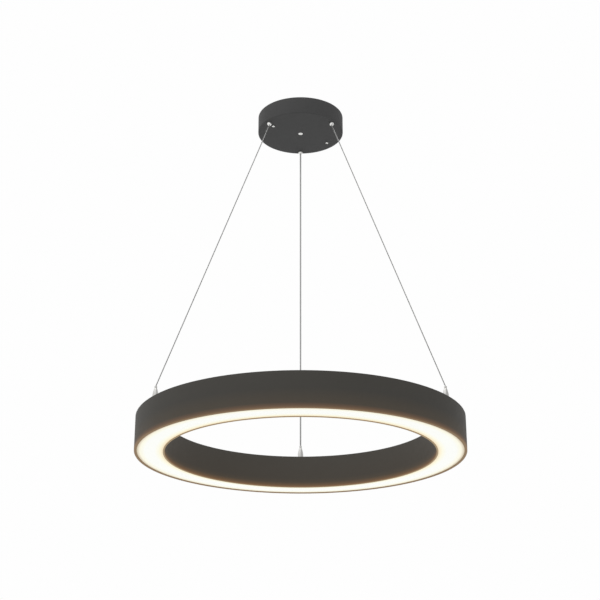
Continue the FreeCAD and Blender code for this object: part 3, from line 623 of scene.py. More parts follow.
FINISHES: dict[Slot, Finish] = {
    # spun steel, powder coated: near-black grey, matt, a little neutral
    Slot.CANOPY_PAINT: PowderCoat(
        "steel, powder coated anthracite", "404040", "3d3d3d", 0.68, grain=0.7 * MM
    ),
    # rolled aluminium channel, powder coated: the same grey a shade warmer, with warm light
    # painted near the mouth
    Slot.RING_PAINT: PowderCoat(
        "aluminium, powder coated anthracite",
        "3c3a36",
        "393733",
        0.68,
        grain=0.7 * MM,
        painted_glow=True,
    ),
    # galvanised sheet: cool bright grey with pale patches
    Slot.ZINC: Metal("steel, zinc plated", "b9bcc0", "9fa3a8", 0.36, 0.08, 6 * MM),
    # moulded rubber: black and dull
    Slot.RUBBER: Finish("rubber, moulded", "1d1d1d", "151515", 0.78, 0.06, 8 * MM),
    # turned brass, bright nickel plated: a mirror that is a shade warm
    Slot.BRIGHT_NICKEL: Metal(
        "brass, turned and bright nickel plated",
        "f2f2f0",
        "eaeae7",
        0.24,
        0.05,
        6 * MM,
        relief=0.004 * MM,
        cutting=Cutting.TURNED,
    ),
    # turned brass, satin nickel plated: soft reflections across fine turning lines
    Slot.NICKEL_BRASS: Metal(
        "brass, turned and satin nickel plated",
        "d2d1ce",
        "c9c8c5",
        0.32,
        0.06,
        6 * MM,
        relief=0.006 * MM,
        cutting=Cutting.TURNED,
    ),
    # stranded stainless rope: bright ridges and dark grooves
    Slot.ROPE: Metal(
        "stainless steel, drawn and stranded",
        "b0b0af",
        "a8a8a7",
        0.45,
        0.05,
        9 * MM,
        cutting=Cutting.DRAWN,
    ),
    # clad power wire: satin grey
    Slot.POWER_WIRE: CladWire(
        "PVC, extruded over tinned strands", "a9a9a8", "a2a2a1", 0.42, relief=0.02 * MM
    ),
    # moulded polycarbonate case: off-white with a fine spark-eroded grain
    Slot.DRIVER: Finish("polycarbonate, moulded", "d9d8d2", "d0cfc8", 0.48, grain=0.4 * MM),
    # glass-epoxy board under green solder mask: semi-gloss
    Slot.BOARD: Finish("glass epoxy, solder masked", "1f5a37", "184a2c", 0.34, patch=9 * MM),
    # moulded component bodies: dark and matt
    Slot.COMPONENT: Finish("epoxy, moulded", "26262a", "1c1c20", 0.52, patch=7 * MM),
    # moulded terminal housing: milky polyamide
    Slot.TERMINAL: Finish("polyamide, moulded", "e6e3d8", "dcd8cb", 0.44, patch=10 * MM),
    # extruded lead insulation: semi-gloss
    Slot.INSULATION: Finish("PVC, extruded", "c8c6c2", "b9b7b2", 0.4, patch=12 * MM),
    # rolled aluminium sheet, bare: long faint rolling lines
    Slot.CARRIER: Metal(
        "aluminium, rolled", "cdd0d2", "bfc2c4", 0.34, 0.07, 20 * MM, cutting=Cutting.DRAWN
    ),
    # aluminium-core board under white solder mask: bright, semi-gloss
    Slot.LED_BOARD: Finish("aluminium core, white solder mask", "eeeeea", "e4e4df", 0.36),
    # phosphor-filled silicone over the diode: egg-yolk yellow
    Slot.LED_CHIP: Finish("silicone, phosphor filled", "e9c648", "dab63a", 0.3, patch=2 * MM),
    # tinned copper: soft bright grey
    Slot.TINNED: Metal("copper, tinned", "c9c8c4", "b4b3ae", 0.32, 0.08, 4 * MM),
    # opal acrylic: satin milky sheet, whose white is mostly its own light
    Slot.OPAL: OpalSheet("acrylic, extruded opal", "a09f9a", "9c9b96", 0.5, patch=60 * MM),
    # drawn spring wire: dark blue-grey steel
    Slot.SPRING: Metal("spring steel, drawn", "8d9096", "7b7e84", 0.3, 0.06, 4 * MM),
}


class Paintshop:
    """Makes each finish once and dresses pieces and carried-over nodes with it."""

    def __init__(self) -> None:
        """Starts with no material made."""
        self.made: dict[Slot, bpy.types.Material] = {}

    def material(self, slot: Slot) -> bpy.types.Material:
        """The material of a slot, made when it is first asked for.

        Args:
            slot: the finish's slot in the record.

        Returns:
            The material.
        """
        if slot not in self.made:
            self.made[slot] = FINISHES[slot].material()
        return self.made[slot]

    def dress(self, piece: bpy.types.Object, slot: Slot) -> None:
        """Gives a piece a finish in place of whatever it wore.

        Args:
            piece: the object to dress.
            slot: the finish's slot in the record.
        """
        piece.data.materials.clear()
        piece.data.materials.append(self.material(slot))


# ---------------------------------------------------------------- modelling


def deselect_all() -> None:
    """Leaves nothing selected, so that the next operator acts on the new piece alone."""
    if bpy.context.object and bpy.context.object.mode == "EDIT":
        bpy.ops.object.mode_set(mode="OBJECT")
    bpy.ops.object.select_all(action="DESELECT")


def take(piece: bpy.types.Object) -> None:
    """Makes a piece the only selected and the active object.

    Args:
        piece: the object.
    """
    deselect_all()
    piece.select_set(True)
    bpy.context.view_layer.objects.active = piece


def settle(piece: bpy.types.Object, name: str) -> bpy.types.Object:
    """Names a piece and moves its place into its mesh.

    Args:
        piece: the object.
        name: its name, which its mesh gets too.

    Returns:
        The same piece.
    """
    take(piece)
    piece.name = name
    piece.data.name = name
    bpy.ops.object.transform_apply(location=True, rotation=True, scale=True)
    return piece


def pick_faces(piece: bpy.types.Object, test: Callable[[Vector, Vector], bool]) -> None:
    """Selects, in edit mode, the faces whose middle and normal pass a test.

    Args:
        piece: the object in edit mode.
        test: takes a face's middle and its normal.
    """
    bpy.ops.mesh.select_mode(type="FACE")
    bpy.ops.mesh.select_all(action="DESELECT")
    mesh = bmesh.from_edit_mesh(piece.data)
    for face in mesh.faces:
        face.select_set(test(face.calc_center_median(), face.normal))
    bmesh.update_edit_mesh(piece.data)


def pick_edges(piece: bpy.types.Object, test: Callable[[Vector, Vector], bool]) -> None:
    """Selects, in edit mode, the edges whose two ends pass a test.

    Args:
        piece: the object in edit mode.
        test: takes an edge's ends.
    """
    bpy.ops.mesh.select_mode(type="EDGE")
    bpy.ops.mesh.select_all(action="DESELECT")
    mesh = bmesh.from_edit_mesh(piece.data)
    for edge in mesh.edges:
        edge.select_set(test(edge.verts[0].co, edge.verts[1].co))
    bmesh.update_edit_mesh(piece.data)


def apply_modifier(piece: bpy.types.Object, kind: str, settings: Mapping[str, Any]) -> None:
    """Adds a modifier with its settings and applies it.

    Args:
        piece: the object that gets it.
        kind: the modifier's type.
        settings: its properties by name.
    """
    take(piece)
    modifier = piece.modifiers.new(kind.lower(), kind)
    for name, value in settings.items():
        setattr(modifier, name, value)
    bpy.ops.object.modifier_apply(modifier=modifier.name)


def turned(
    name: str, section: Section, centre: Vector, sides: int, ends: Ends = Ends.JOINED
) -> bpy.types.Object:
    """Models a turned piece: a circle is extruded and resized from corner to corner.

    Args:
        name: the piece's name.
        section: radius and height of each corner, heights counted from the centre.
        centre: the point on the piece's axis that the heights start from.
        sides: how many sides the circle has.
        ends: how the section is closed.

    Returns:
        The piece, with its place in its mesh.
    """
    deselect_all()
    radius, height = section[0]
    bpy.ops.mesh.primitive_circle_add(
        vertices=sides,
        radius=radius,
        fill_type="NOTHING",
        location=(centre.x, centre.y, centre.z + height),
    )
    piece = settle(bpy.context.object, name)
    bpy.ops.object.mode_set(mode="EDIT")
    bpy.ops.mesh.select_mode(type="VERT")
    bpy.ops.mesh.select_all(action="SELECT")
    corners = list(section[1:])
    if ends is Ends.JOINED:
        corners.append(section[0])
    for next_radius, next_height in corners:
        rise = next_height - height
        bpy.ops.mesh.extrude_region_move(TRANSFORM_OT_translate={"value": (0.0, 0.0, rise)})
        share = next_radius / radius
        bpy.ops.transform.resize(
            value=(share, share, 1.0),
            center_override=(centre.x, centre.y, centre.z + next_height),
        )
        radius, height = next_radius, next_height
    bpy.ops.mesh.select_all(action="SELECT")
    if ends is Ends.JOINED:
        bpy.ops.mesh.remove_doubles(threshold=HAIR)
    else:
        bpy.ops.mesh.fill_holes(sides=0)
    bpy.ops.mesh.normals_make_consistent(inside=False)
    bpy.ops.object.mode_set(mode="OBJECT")
    return piece


def arc(
    middle: tuple[float, float], radius: float, start: float, end: float, steps: int
) -> list[tuple[float, float]]:
    """Corners along a round part of a section.

    Args:
        middle: radius and height of the arc's middle.
        radius: the arc's own radius.
        start: direction of its first corner, in degrees from outwards.
        end: direction of its last corner.
        steps: how many parts it is cut into.

    Returns:
        Radius and height of each corner.
    """
    turns = [math.radians(start + (end - start) * step / steps) for step in range(steps + 1)]
    return [(middle[0] + radius * math.cos(t), middle[1] + radius * math.sin(t)) for t in turns]


def cut(piece: bpy.types.Object, cutters: Sequence[bpy.types.Object]) -> None:
    """Takes cutters out of a piece and deletes them.

    Args:
        piece: the object that is cut.
        cutters: closed shapes that don't touch each other.
    """
    for cutter in cutters:
        apply_modifier(piece, "BOOLEAN", {"object": cutter, "operation": "DIFFERENCE"})
        bpy.data.objects.remove(cutter)


def drill(radius: float, place: Vector, depth: float) -> bpy.types.Object:
    """A cutter for a round hole.

    Args:
        radius: the hole's radius.
        place: the middle of the cutter.
        depth: the cutter's whole height.

    Returns:
        The cutter.
    """
    deselect_all()
    bpy.ops.mesh.primitive_cylinder_add(vertices=40, radius=radius, depth=depth, location=place)
    return settle(bpy.context.object, "drill")


def joined(pieces: Sequence[bpy.types.Object], name: str) -> bpy.types.Object:
    """Joins separate solids of one group into one piece.

    Args:
        pieces: the solids.
        name: the group's name.

    Returns:
        The joined piece.
    """
    take(pieces[0])
    for piece in pieces[1:]:
        piece.select_set(True)
    bpy.ops.object.join()
    return settle(bpy.context.object, name)


def smooth(piece: bpy.types.Object, degrees: float = 32.0) -> None:
    """Smooths a piece's round faces and keeps its corners."""
    take(piece)
    bpy.ops.object.shade_smooth_by_angle(angle=math.radians(degrees))


def curve_mesh(line: bpy.types.Curve) -> bpy.types.Mesh:
    """Turns a curve into a mesh and deletes the curve.

    Args:
        line: the curve.

    Returns:
        The mesh, on no object yet.
    """
    holder = bpy.data.objects.new(line.name, line)
    mesh = bpy.data.meshes.new_from_object(holder)
    bpy.data.objects.remove(holder)
    bpy.data.curves.remove(line)
    return mesh


@dataclass
class SubAssembly:
    """What every group of pieces shares.

    Args:
        shop: where its pieces get their finishes.
        pieces: the pieces made so far.
    """

    shop: Paintshop
    pieces: list[bpy.types.Object] = field(default_factory=list)

    def hand_over(
        self, piece: bpy.types.Object, body: str, slot: Slot, nodes: Sequence[str]
    ) -> bpy.types.Object:
        """Smooths and dresses a piece, seats it on its body and notes it.

        Args:
            piece: the finished mesh.
            body: the body that it rides on.
            slot: its finish.
            nodes: the carried-over nodes that it stands for.

        Returns:
            The same piece.
        """
        smooth(piece)
        self.shop.dress(piece, slot)
        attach(piece, body)
        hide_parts(*nodes)
        self.pieces.append(piece)
        return piece

    def build(self) -> None:
        """Models, dresses and seats the pieces."""
        raise NotImplementedError


# ---------------------------------------------------------------- wires


@dataclass
class Suspension(SubAssembly):
    """The three taut wires between the canopy and the ring.

    Args:
        strands: how many strands lie round the core of a rope.
        lay: height of one turn of a strand, in metres.
        steps: points in one turn of a strand.
        straight: length of the wire's first and last run, in diameters.
        sides: sides of the clad wire.
        parts: parts that the clad wire's length is cut into.
        map_run: how many radii of the clad wire's length make one unit of its map.
    """

    strands: int = 12
    lay: float = 14 * MM
    steps: int = 10
    straight: float = 6.0
    sides: int = 16
    parts: int = 160
    map_run: float = 8.0

    def route(self, station: Station) -> list[Vector]:
        """The wire's line, read from the smooth spline through its given points.

        Args:
            station: the suspension point.

        Returns:
            Points from the canopy to the ring.
        """
        along = (station.foot - station.top).normalized()
        run = along * (self.straight * 2 * station.radius)
        controls = [station.top, station.top + run, station.foot - run, station.foot]
        line = bpy.data.curves.new("route", "CURVE")
        line.dimensions = "3D"
        line.resolution_u = 24
        spline = line.splines.new("NURBS")
        spline.points.add(len(controls) - 1)
        for point, place in zip(spline.points, controls):
            point.co = (*place, 1.0)
        spline.order_u = 3
        spline.use_endpoint_u = True
        mesh = curve_mesh(line)
        points = [vertex.co.copy() for vertex in mesh.vertices]
        bpy.data.meshes.remove(mesh)
        return points

    def even(self, points: Sequence[Vector], count: int) -> list[Vector]:
        """Places points at even spacing along a line.

        Args:
            points: the line.
            count: how many parts it is cut into.

        Returns:
            One point more than the parts.
        """
        lengths = [0.0]
        for before, after in zip(points, points[1:]):
            lengths.append(lengths[-1] + (after - before).length)
        placed = []
        at = 0
        for step in range(count + 1):
            wanted = lengths[-1] * step / count
            while at < len(points) - 2 and lengths[at + 1] < wanted:
                at += 1
            share = (wanted - lengths[at]) / max(lengths[at + 1] - lengths[at], HAIR)
            placed.append(points[at].lerp(points[at + 1], share))
        return placed

    def across(self, points: Sequence[Vector]) -> tuple[Vector, Vector]:
        """Two directions square to a straight line and to each other.

        Args:
            points: the line.

        Returns:
            The two directions.
        """
        along = (points[-1] - points[0]).normalized()
        first = along.cross(Vector((0.0, 0.0, 1.0))).normalized()
        return first, along.cross(first)

    def rope(self, station: Station, points: Sequence[Vector]) -> bpy.types.Object:
        """A stranded rope: strands wound round a straight core.

        Args:
            station: the suspension point.
            points: the rope's line.

        Returns:
            The rope as one mesh.
        """
        length = sum((b - a).length for a, b in zip(points, points[1:]))
        turns = length / self.lay
        spread = math.sin(math.pi / self.strands)
        strand_radius = station.radius * spread / (1 + spread)
        core_radius = station.radius - 2 * strand_radius
        first, second = self.across(points)
        line = bpy.data.curves.new("strands", "CURVE")
        line.dimensions = "3D"
        line.bevel_depth = strand_radius
        line.bevel_resolution = 1
        line.use_fill_caps = True
        middles = self.even(points, int(turns * self.steps))
        for number in range(self.strands + 1):
            wound = number < self.strands
            spline = line.splines.new("POLY")
            spline.points.add(len(middles) - 1)
            for step, middle in enumerate(middles):
                turn = 2 * math.pi * (number / self.strands + turns * step / (len(middles) - 1))
                out = first * math.cos(turn) + second * math.sin(turn)
                place = middle + out * (station.radius - strand_radius if wound else 0.0)
                spline.points[step].co = (*place, 1.0)
                spline.points[step].radius = 1.0 if wound else core_radius / strand_radius
        piece = bpy.data.objects.new("rope", curve_mesh(line))
        bpy.context.scene.collection.objects.link(piece)
        return settle(piece, f"suspension_rope_{station.side}")

    def clad(self, station: Station, points: Sequence[Vector]) -> bpy.types.Object:
        """The power wire's smooth cladding, with its length in its own map.

        Args:
            station: the suspension point.
            points: the wire's line.

        Returns:
            The wire as one mesh.
        """
        deselect_all()
        first, second = self.across(points)
        middles = self.even(points, self.parts)
        bpy.ops.mesh.primitive_circle_add(
            vertices=self.sides, radius=station.radius, fill_type="NGON"
        )
        piece = settle(bpy.context.object, f"power_wire_{station.side}")
        for vertex in piece.data.vertices:
            vertex.co = points[0] + first * vertex.co.x + second * vertex.co.y
        bpy.ops.object.mode_set(mode="EDIT")
        bpy.ops.mesh.select_all(action="SELECT")
        for before, after in zip(middles, middles[1:]):
            bpy.ops.mesh.extrude_region_move(
                TRANSFORM_OT_translate={"value": tuple(after - before)}
            )
        bpy.ops.mesh.select_all(action="SELECT")
        bpy.ops.mesh.normals_make_consistent(inside=False)
        bpy.ops.object.mode_set(mode="OBJECT")
        self.map_length(piece, points[0], points[-1], station.radius, first, second)
        return piece

    def map_length(
        self,
        piece: bpy.types.Object,
        start: Vector,
        end: Vector,
        radius: float,
        first: Vector,
        second: Vector,
    ) -> None:
        """Writes a map whose one axis runs round the wire and whose other runs along it.

        Args:
            piece: the wire.
            start: its first point.
            end: its last point.
            radius: its radius.
            first: a direction square to it.
            second: the direction square to both.
        """
        along = (end - start).normalized()
        layer = piece.data.uv_layers.new(name="length")
        for loop in piece.data.loops:
            offset = piece.data.vertices[loop.vertex_index].co - start
            turn = math.atan2(offset.dot(second), offset.dot(first)) / (2 * math.pi)
            layer.data[loop.index].uv = (turn, offset.dot(along) / (self.map_run * radius))

    def build(self) -> None:
        """Models the three wires and seats them on the canopy."""
        for station in STATIONS:
            points = self.route(station)
            if station.side == "far":
                piece = self.clad(station, points)
                slot, bend = Slot.POWER_WIRE, "medium"
            else:
                piece = self.rope(station, points)
                slot, bend = Slot.ROPE, "stiff"
            self.hand_over(piece, Body.CANOPY.value, slot, [f"wire_{station.side}"])
            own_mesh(piece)


# ---------------------------------------------------------------- canopy


@dataclass
class Canopy(SubAssembly):
    """The canopy cup with its screws, centre plug and wire bushings.

    Args:
        wall: thickness of the cup.
        edge: rounding of the cup's lower edge.
        sides: sides of the cup's circle.
        screw_places: where the two canopy screws are.
        screw_head: radius of a screw's head.
        screw_tall: height of that head.
        screw_shank: radius of a screw's shank.
        screw_long: length of that shank.
        plug_radius: radius of the centre plug's cap.
        plug_tall: height of that cap.
        plug_shank: radius of its stem.
        flange: radius of a bushing's flange.
        rim: height of that flange's straight edge.
        nose: radius of the bushing's lower end.
        shank: radius of a bushing's shank.
        bore_gap: room between a wire and its bushing.
        shank_play: room round a bushing's shank in the cup.
        screw_play: room round a screw's shank.
        plug_play: room round the plug's stem.
        nick: broken edge of a bushing's flange.
        head_round: rounding of a screw's head.
        head_nick: broken edge below that head.
        tip: chamfer at a screw's end.
        blade: length, breadth and depth of a recess, as shares of the head.
        cap_round: rounding of the plug's cap.
        stem_long: length of the plug's stem.
    """

    wall: float = 1.5 * MM
    edge: float = 1.0 * MM
    sides: int = 160
    screw_places: tuple[tuple[float, float], ...] = (
        (-53.6 * MM, -32.5 * MM),
        (53.4 * MM, 36.0 * MM),
    )
    screw_head: float = 2.75 * MM
    screw_tall: float = 2.2 * MM
    screw_shank: float = 1.5 * MM
    screw_long: float = 10.0 * MM
    plug_radius: float = 4.4 * MM
    plug_tall: float = 0.6 * MM
    plug_shank: float = 3.4 * MM
    flange: float = 4.7 * MM
    rim: float = 1.2 * MM
    nose: float = 2.2 * MM
    shank: float = 2.95 * MM
    bore_gap: float = 0.12 * MM
    shank_play: float = 0.05 * MM
    screw_play: float = 0.3 * MM
    plug_play: float = 0.1 * MM
    nick: float = 0.2 * MM
    head_round: float = 0.8 * MM
    head_nick: float = 0.15 * MM
    tip: float = 0.4 * MM
    blade: tuple[float, float, float] = (1.15, 0.22, 0.9)
    cap_round: float = 0.5 * MM
    stem_long: float = 5.0 * MM

    def cup(self) -> bpy.types.Object:
        """The spun steel cup: open above, rounded below, drilled for what it carries.

        Returns:
            The cup.
        """
        deselect_all()
        height = -CUP_FLOOR
        bpy.ops.mesh.primitive_cylinder_add(
            vertices=self.sides,
            radius=CUP_RADIUS,
            depth=height,
            location=(0.0, 0.0, -height / 2),
        )
        piece = settle(bpy.context.object, "canopy_shell")
        bpy.ops.object.mode_set(mode="EDIT")
        pick_faces(piece, lambda middle, normal: normal.z > 0.9)
        bpy.ops.mesh.delete(type="FACE")
        pick_faces(piece, lambda middle, normal: normal.z < -0.9)
        bpy.ops.mesh.inset(thickness=6 * self.edge)
        low = CUP_FLOOR + HAIR
        rim = CUP_RADIUS - HAIR * 100
        pick_edges(
            piece,
            lambda a, b: max(a.z, b.z) < low and min(a.xy.length, b.xy.length) > rim,
        )
        bpy.ops.mesh.bevel(offset=self.edge, segments=4)
        bpy.ops.object.mode_set(mode="OBJECT")
        apply_modifier(
            piece, "SOLIDIFY", {"thickness": self.wall, "offset": -1.0, "use_even_offset": True}
        )
        holes = [(s.top.xy, self.shank + self.shank_play) for s in STATIONS]
        holes += [(Vector(at), self.screw_shank + self.screw_play) for at in self.screw_places]
        holes.append((Vector((0.0, 0.0)), self.plug_shank + self.plug_play))
        depth = 6 * self.wall
        cut(piece, [drill(r, Vector((at.x, at.y, CUP_FLOOR)), depth) for at, r in holes])
        return piece

    def bushing(self, station: Station) -> bpy.types.Object:
        """A turned bushing: a flange and a round nose below the cup, and a shank through it.

        Args:
            station: the suspension point.

        Returns:
            The bushing.
        """
        bore = station.radius + self.bore_gap
        foot = WIRE_TOP - CUP_FLOOR
        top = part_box(f"bushing_{station.side}")[1].z - CUP_FLOOR
        quarter = arc((0.0, 0.0), 1.0, 0.0, 90.0, 8)
        breadth, tall = self.flange - self.nose, -foot - self.rim
        section = [
            (bore, top),
            (self.shank, top),
            (self.shank, 0.0),
            (self.flange - self.nick, 0.0),
            (self.flange, -self.nick),
            *((self.nose + breadth * out, -self.rim - tall * down) for out, down in quarter),
            (bore + self.nick / 2, foot),
            (bore, foot + self.nick / 2),
        ]
        place = Vector((station.top.x, station.top.y, CUP_FLOOR))
        return turned(f"wire_bushing_{station.side}", section, place, 40)

    def screw(self, number: int, place: tuple[float, float]) -> bpy.types.Object:
        """A pan-head screw with a cross recess.

        Args:
            number: counts the screws, and turns their recesses differently.
            place: where it stands on the cup.

        Returns:
            The screw.
        """
        tall, head, shank = self.screw_tall, self.screw_head, self.screw_shank
        curve = self.head_round
        length, breadth, deep = self.blade
        section = [
            (0.35 * head, -tall),
            *arc((head - curve, -tall + curve), curve, -90.0, 0.0, 5),
            (head, -self.head_nick),
            (head - self.head_nick, 0.0),
            (shank, 0.0),
            (shank, self.screw_long - self.tip),
            (shank - self.tip, self.screw_long),
        ]
        centre = Vector((*place, CUP_FLOOR))
        piece = turned(f"screw_{number}", section, centre, 32, Ends.CAPPED)
        blades = []
        for quarter in range(2):
            deselect_all()
            bpy.ops.mesh.primitive_cube_add(size=1.0, location=(*place, CUP_FLOOR - tall))
            bpy.context.object.scale = (length * head, breadth * head, deep * tall)
            bpy.context.object.rotation_euler.z = math.radians(28 + 90 * quarter + 31 * number)
            blades.append(settle(bpy.context.object, "blade"))
        cut(piece, blades)
        return piece

    def plug(self) -> bpy.types.Object:
        """The bright centre plug: a shallow domed cap on a stem.

        Returns:
            The plug.
        """
        cap, tall, curve = self.plug_radius, self.plug_tall, self.cap_round
        section = [
            (0.4 * cap, -tall),
            (0.78 * cap, -0.96 * tall),
            *arc((cap - curve, -tall + 1.1 * curve), curve, -75.0, 0.0, 4),
            (cap, 0.0),
            (self.plug_shank, 0.0),
            (self.plug_shank, self.stem_long),
        ]
        return turned("centre_cap", section, Vector((0, 0, CUP_FLOOR)), 48, Ends.CAPPED)

    def build(self) -> None:
        """Models the cup and the small parts on it."""
        canopy = Body.CANOPY.value
        self.hand_over(self.cup(), canopy, Slot.CANOPY_PAINT, ["canopy_cup"])
        for station in STATIONS:
            node = f"bushing_{station.side}"
            self.hand_over(self.bushing(station), canopy, Slot.BRIGHT_NICKEL, [node])
        screws = [self.screw(number, place) for number, place in enumerate(self.screw_places)]
        group = joined(screws, "canopy_screw_pair")
        self.hand_over(group, canopy, Slot.BRIGHT_NICKEL, ["canopy_screws"])
        self.hand_over(self.plug(), canopy, Slot.BRIGHT_NICKEL, ["centre_plug"])


# ---------------------------------------------------------------- grippers


@dataclass
class Grippers(SubAssembly):
    """The three cable grippers on the ring, each with its release plunger and spring.

    Heights are counted from the ring's upper face.

    Args:
        base: radius of the barrel.
        shoulder: height at which the barrel starts to taper.
        top: height of the barrel.
        neck: radius of the barrel's upper end.
        stud: radius of the threaded stud below.
        stud_long: length of that stud.
        plunger: radius of the plunger's stem.
        nipple: radius of the plunger's head.
        nipple_foot: height at which that head starts.
        nipple_top: height of the whole gripper.
        ball: radius of a clamping ball.
        chamfer: chamfer of the base, and of the neck.
        groove: height of the fine groove's lower edge.
        groove_deep: depth of that groove.
        groove_slope: height of each of its slopes.
        groove_flat: height of its floor.
        chamber_foot: height at which the balls' chamber starts.
        cone_foot: height at which that chamber starts to narrow.
        cone_top: height at which it ends.
        cone_step: how far it narrows.
        stem_foot: height of the plunger's lower end.
    """

    base: float = 5.6 * MM
    shoulder: float = 13.5 * MM
    top: float = 26.0 * MM
    neck: float = 3.0 * MM
    stud: float = 3.95 * MM
    stud_long: float = 9.0 * MM
    plunger: float = 2.35 * MM
    nipple: float = 2.5 * MM
    nipple_foot: float = 28.2 * MM
    nipple_top: float = 31.0 * MM
    ball: float = 1.2 * MM
    chamfer: float = 0.5 * MM
    groove: float = 2.4 * MM
    groove_deep: float = 0.35 * MM
    groove_slope: float = 0.2 * MM
    groove_flat: float = 0.4 * MM
    chamber_foot: float = 1.5 * MM
    cone_foot: float = 10.5 * MM
    cone_top: float = 14.5 * MM
    cone_step: float = 0.75 * MM
    stem_foot: float = 12.7 * MM

    def ogive(self) -> list[tuple[float, float]]:
        """The barrel's round taper, from its shoulder to its neck.

        Returns:
            Radius and height of each corner.
        """
        count = 10
        rise = self.top - self.chamfer - self.shoulder
        drop = self.base - self.neck
        corners = []
        for step in range(1, count + 1):
            share = step / count
            corners.append((self.base - drop * share**1.35, self.shoulder + rise * share))
        return corners

    def barrel(self, station: Station) -> bpy.types.Object:
        """The barrel: a stud, a chamfered base, a fine groove and a round taper.

        Args:
            station: the suspension point.

        Returns:
            The barrel.
        """
        bore = station.radius + 0.5 * MM
        reach = station.radius + 0.03 * MM + 2 * self.ball
        chamber = reach + 0.35 * MM
        stem = self.plunger + 0.07 * MM
        floor = self.base - self.groove_deep
        low = self.groove + self.groove_slope
        high = low + self.groove_flat
        section = [
            (bore, -self.stud_long),
            (self.stud - 0.4 * MM, -self.stud_long),
            (self.stud, -self.stud_long + 0.4 * MM),
            (self.stud, 0.0),
            (self.base - self.chamfer, 0.0),
            (self.base, self.chamfer),
            (self.base, self.groove),
            (floor, low),
            (floor, high),
            (self.base, high + self.groove_slope),
            (self.base, self.shoulder),
            *self.ogive(),
            (self.neck - self.chamfer, self.top),
            (stem, self.top),
            (stem, self.cone_top),
            (reach - self.cone_step, self.cone_top),
            (chamber, self.cone_foot),
            (chamber, self.chamber_foot),
            (bore, self.chamber_foot),
        ]
        return turned(f"cable_gripper_{station.side}", section, station.grip, 48)

    def release(self, station: Station) -> bpy.types.Object:
        """The release plunger: a stem with a rounded, finger-sized head.

        Args:
            station: the suspension point.

        Returns:
            The plunger.
        """
        bore = station.radius + 0.35 * MM
        edge = 0.7 * MM
        section = [
            (bore, self.stem_foot),
            (self.plunger, self.stem_foot),
            (self.plunger, self.nipple_foot),
            (self.nipple - 0.2 * MM, self.nipple_foot),
            (self.nipple, self.nipple_foot + 0.2 * MM),
            *arc((self.nipple - edge, self.nipple_top - edge), edge, 0.0, 90.0, 5),
            (bore, self.nipple_top),
        ]
        return turned(f"release_plunger_{station.side}", section, station.grip, 40)

    def spring(self, station: Station) -> bpy.types.Object:
        """The plunger's coil spring, copied from its imported node.

        Args:
            station: the suspension point.

        Returns:
            The spring.
        """
        node = f"gripper_spring_{station.side}"
        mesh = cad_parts[node].data.copy()
        piece = bpy.data.objects.new(f"plunger_spring_{station.side}", mesh)
        bpy.context.scene.collection.objects.link(piece)
        settle(piece, f"plunger_spring_{station.side}")
        bpy.ops.object.mode_set(mode="EDIT")
        bpy.ops.mesh.select_all(action="SELECT")
        bpy.ops.mesh.remove_doubles(threshold=HAIR)
        bpy.ops.mesh.normals_make_consistent(inside=False)
        bpy.ops.object.mode_set(mode="OBJECT")
        return piece

    def build(self) -> None:
        """Models each gripper at its place on the ring."""
        ring = Body.RING.value
        for station in STATIONS:
            side = station.side
            barrel = self.barrel(station)
            self.hand_over(barrel, ring, Slot.NICKEL_BRASS, [f"gripper_barrel_{side}"])
            plunger = self.release(station)
            self.hand_over(
                plunger, station.release, Slot.NICKEL_BRASS, [f"gripper_plunger_{side}"]
            )
            node = f"gripper_spring_{side}"
            spring = self.spring(station)
            self.hand_over(spring, ring, Slot.SPRING, [node])
            name = f"{station.release}_press"
            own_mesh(spring)


# ---------------------------------------------------------------- ring


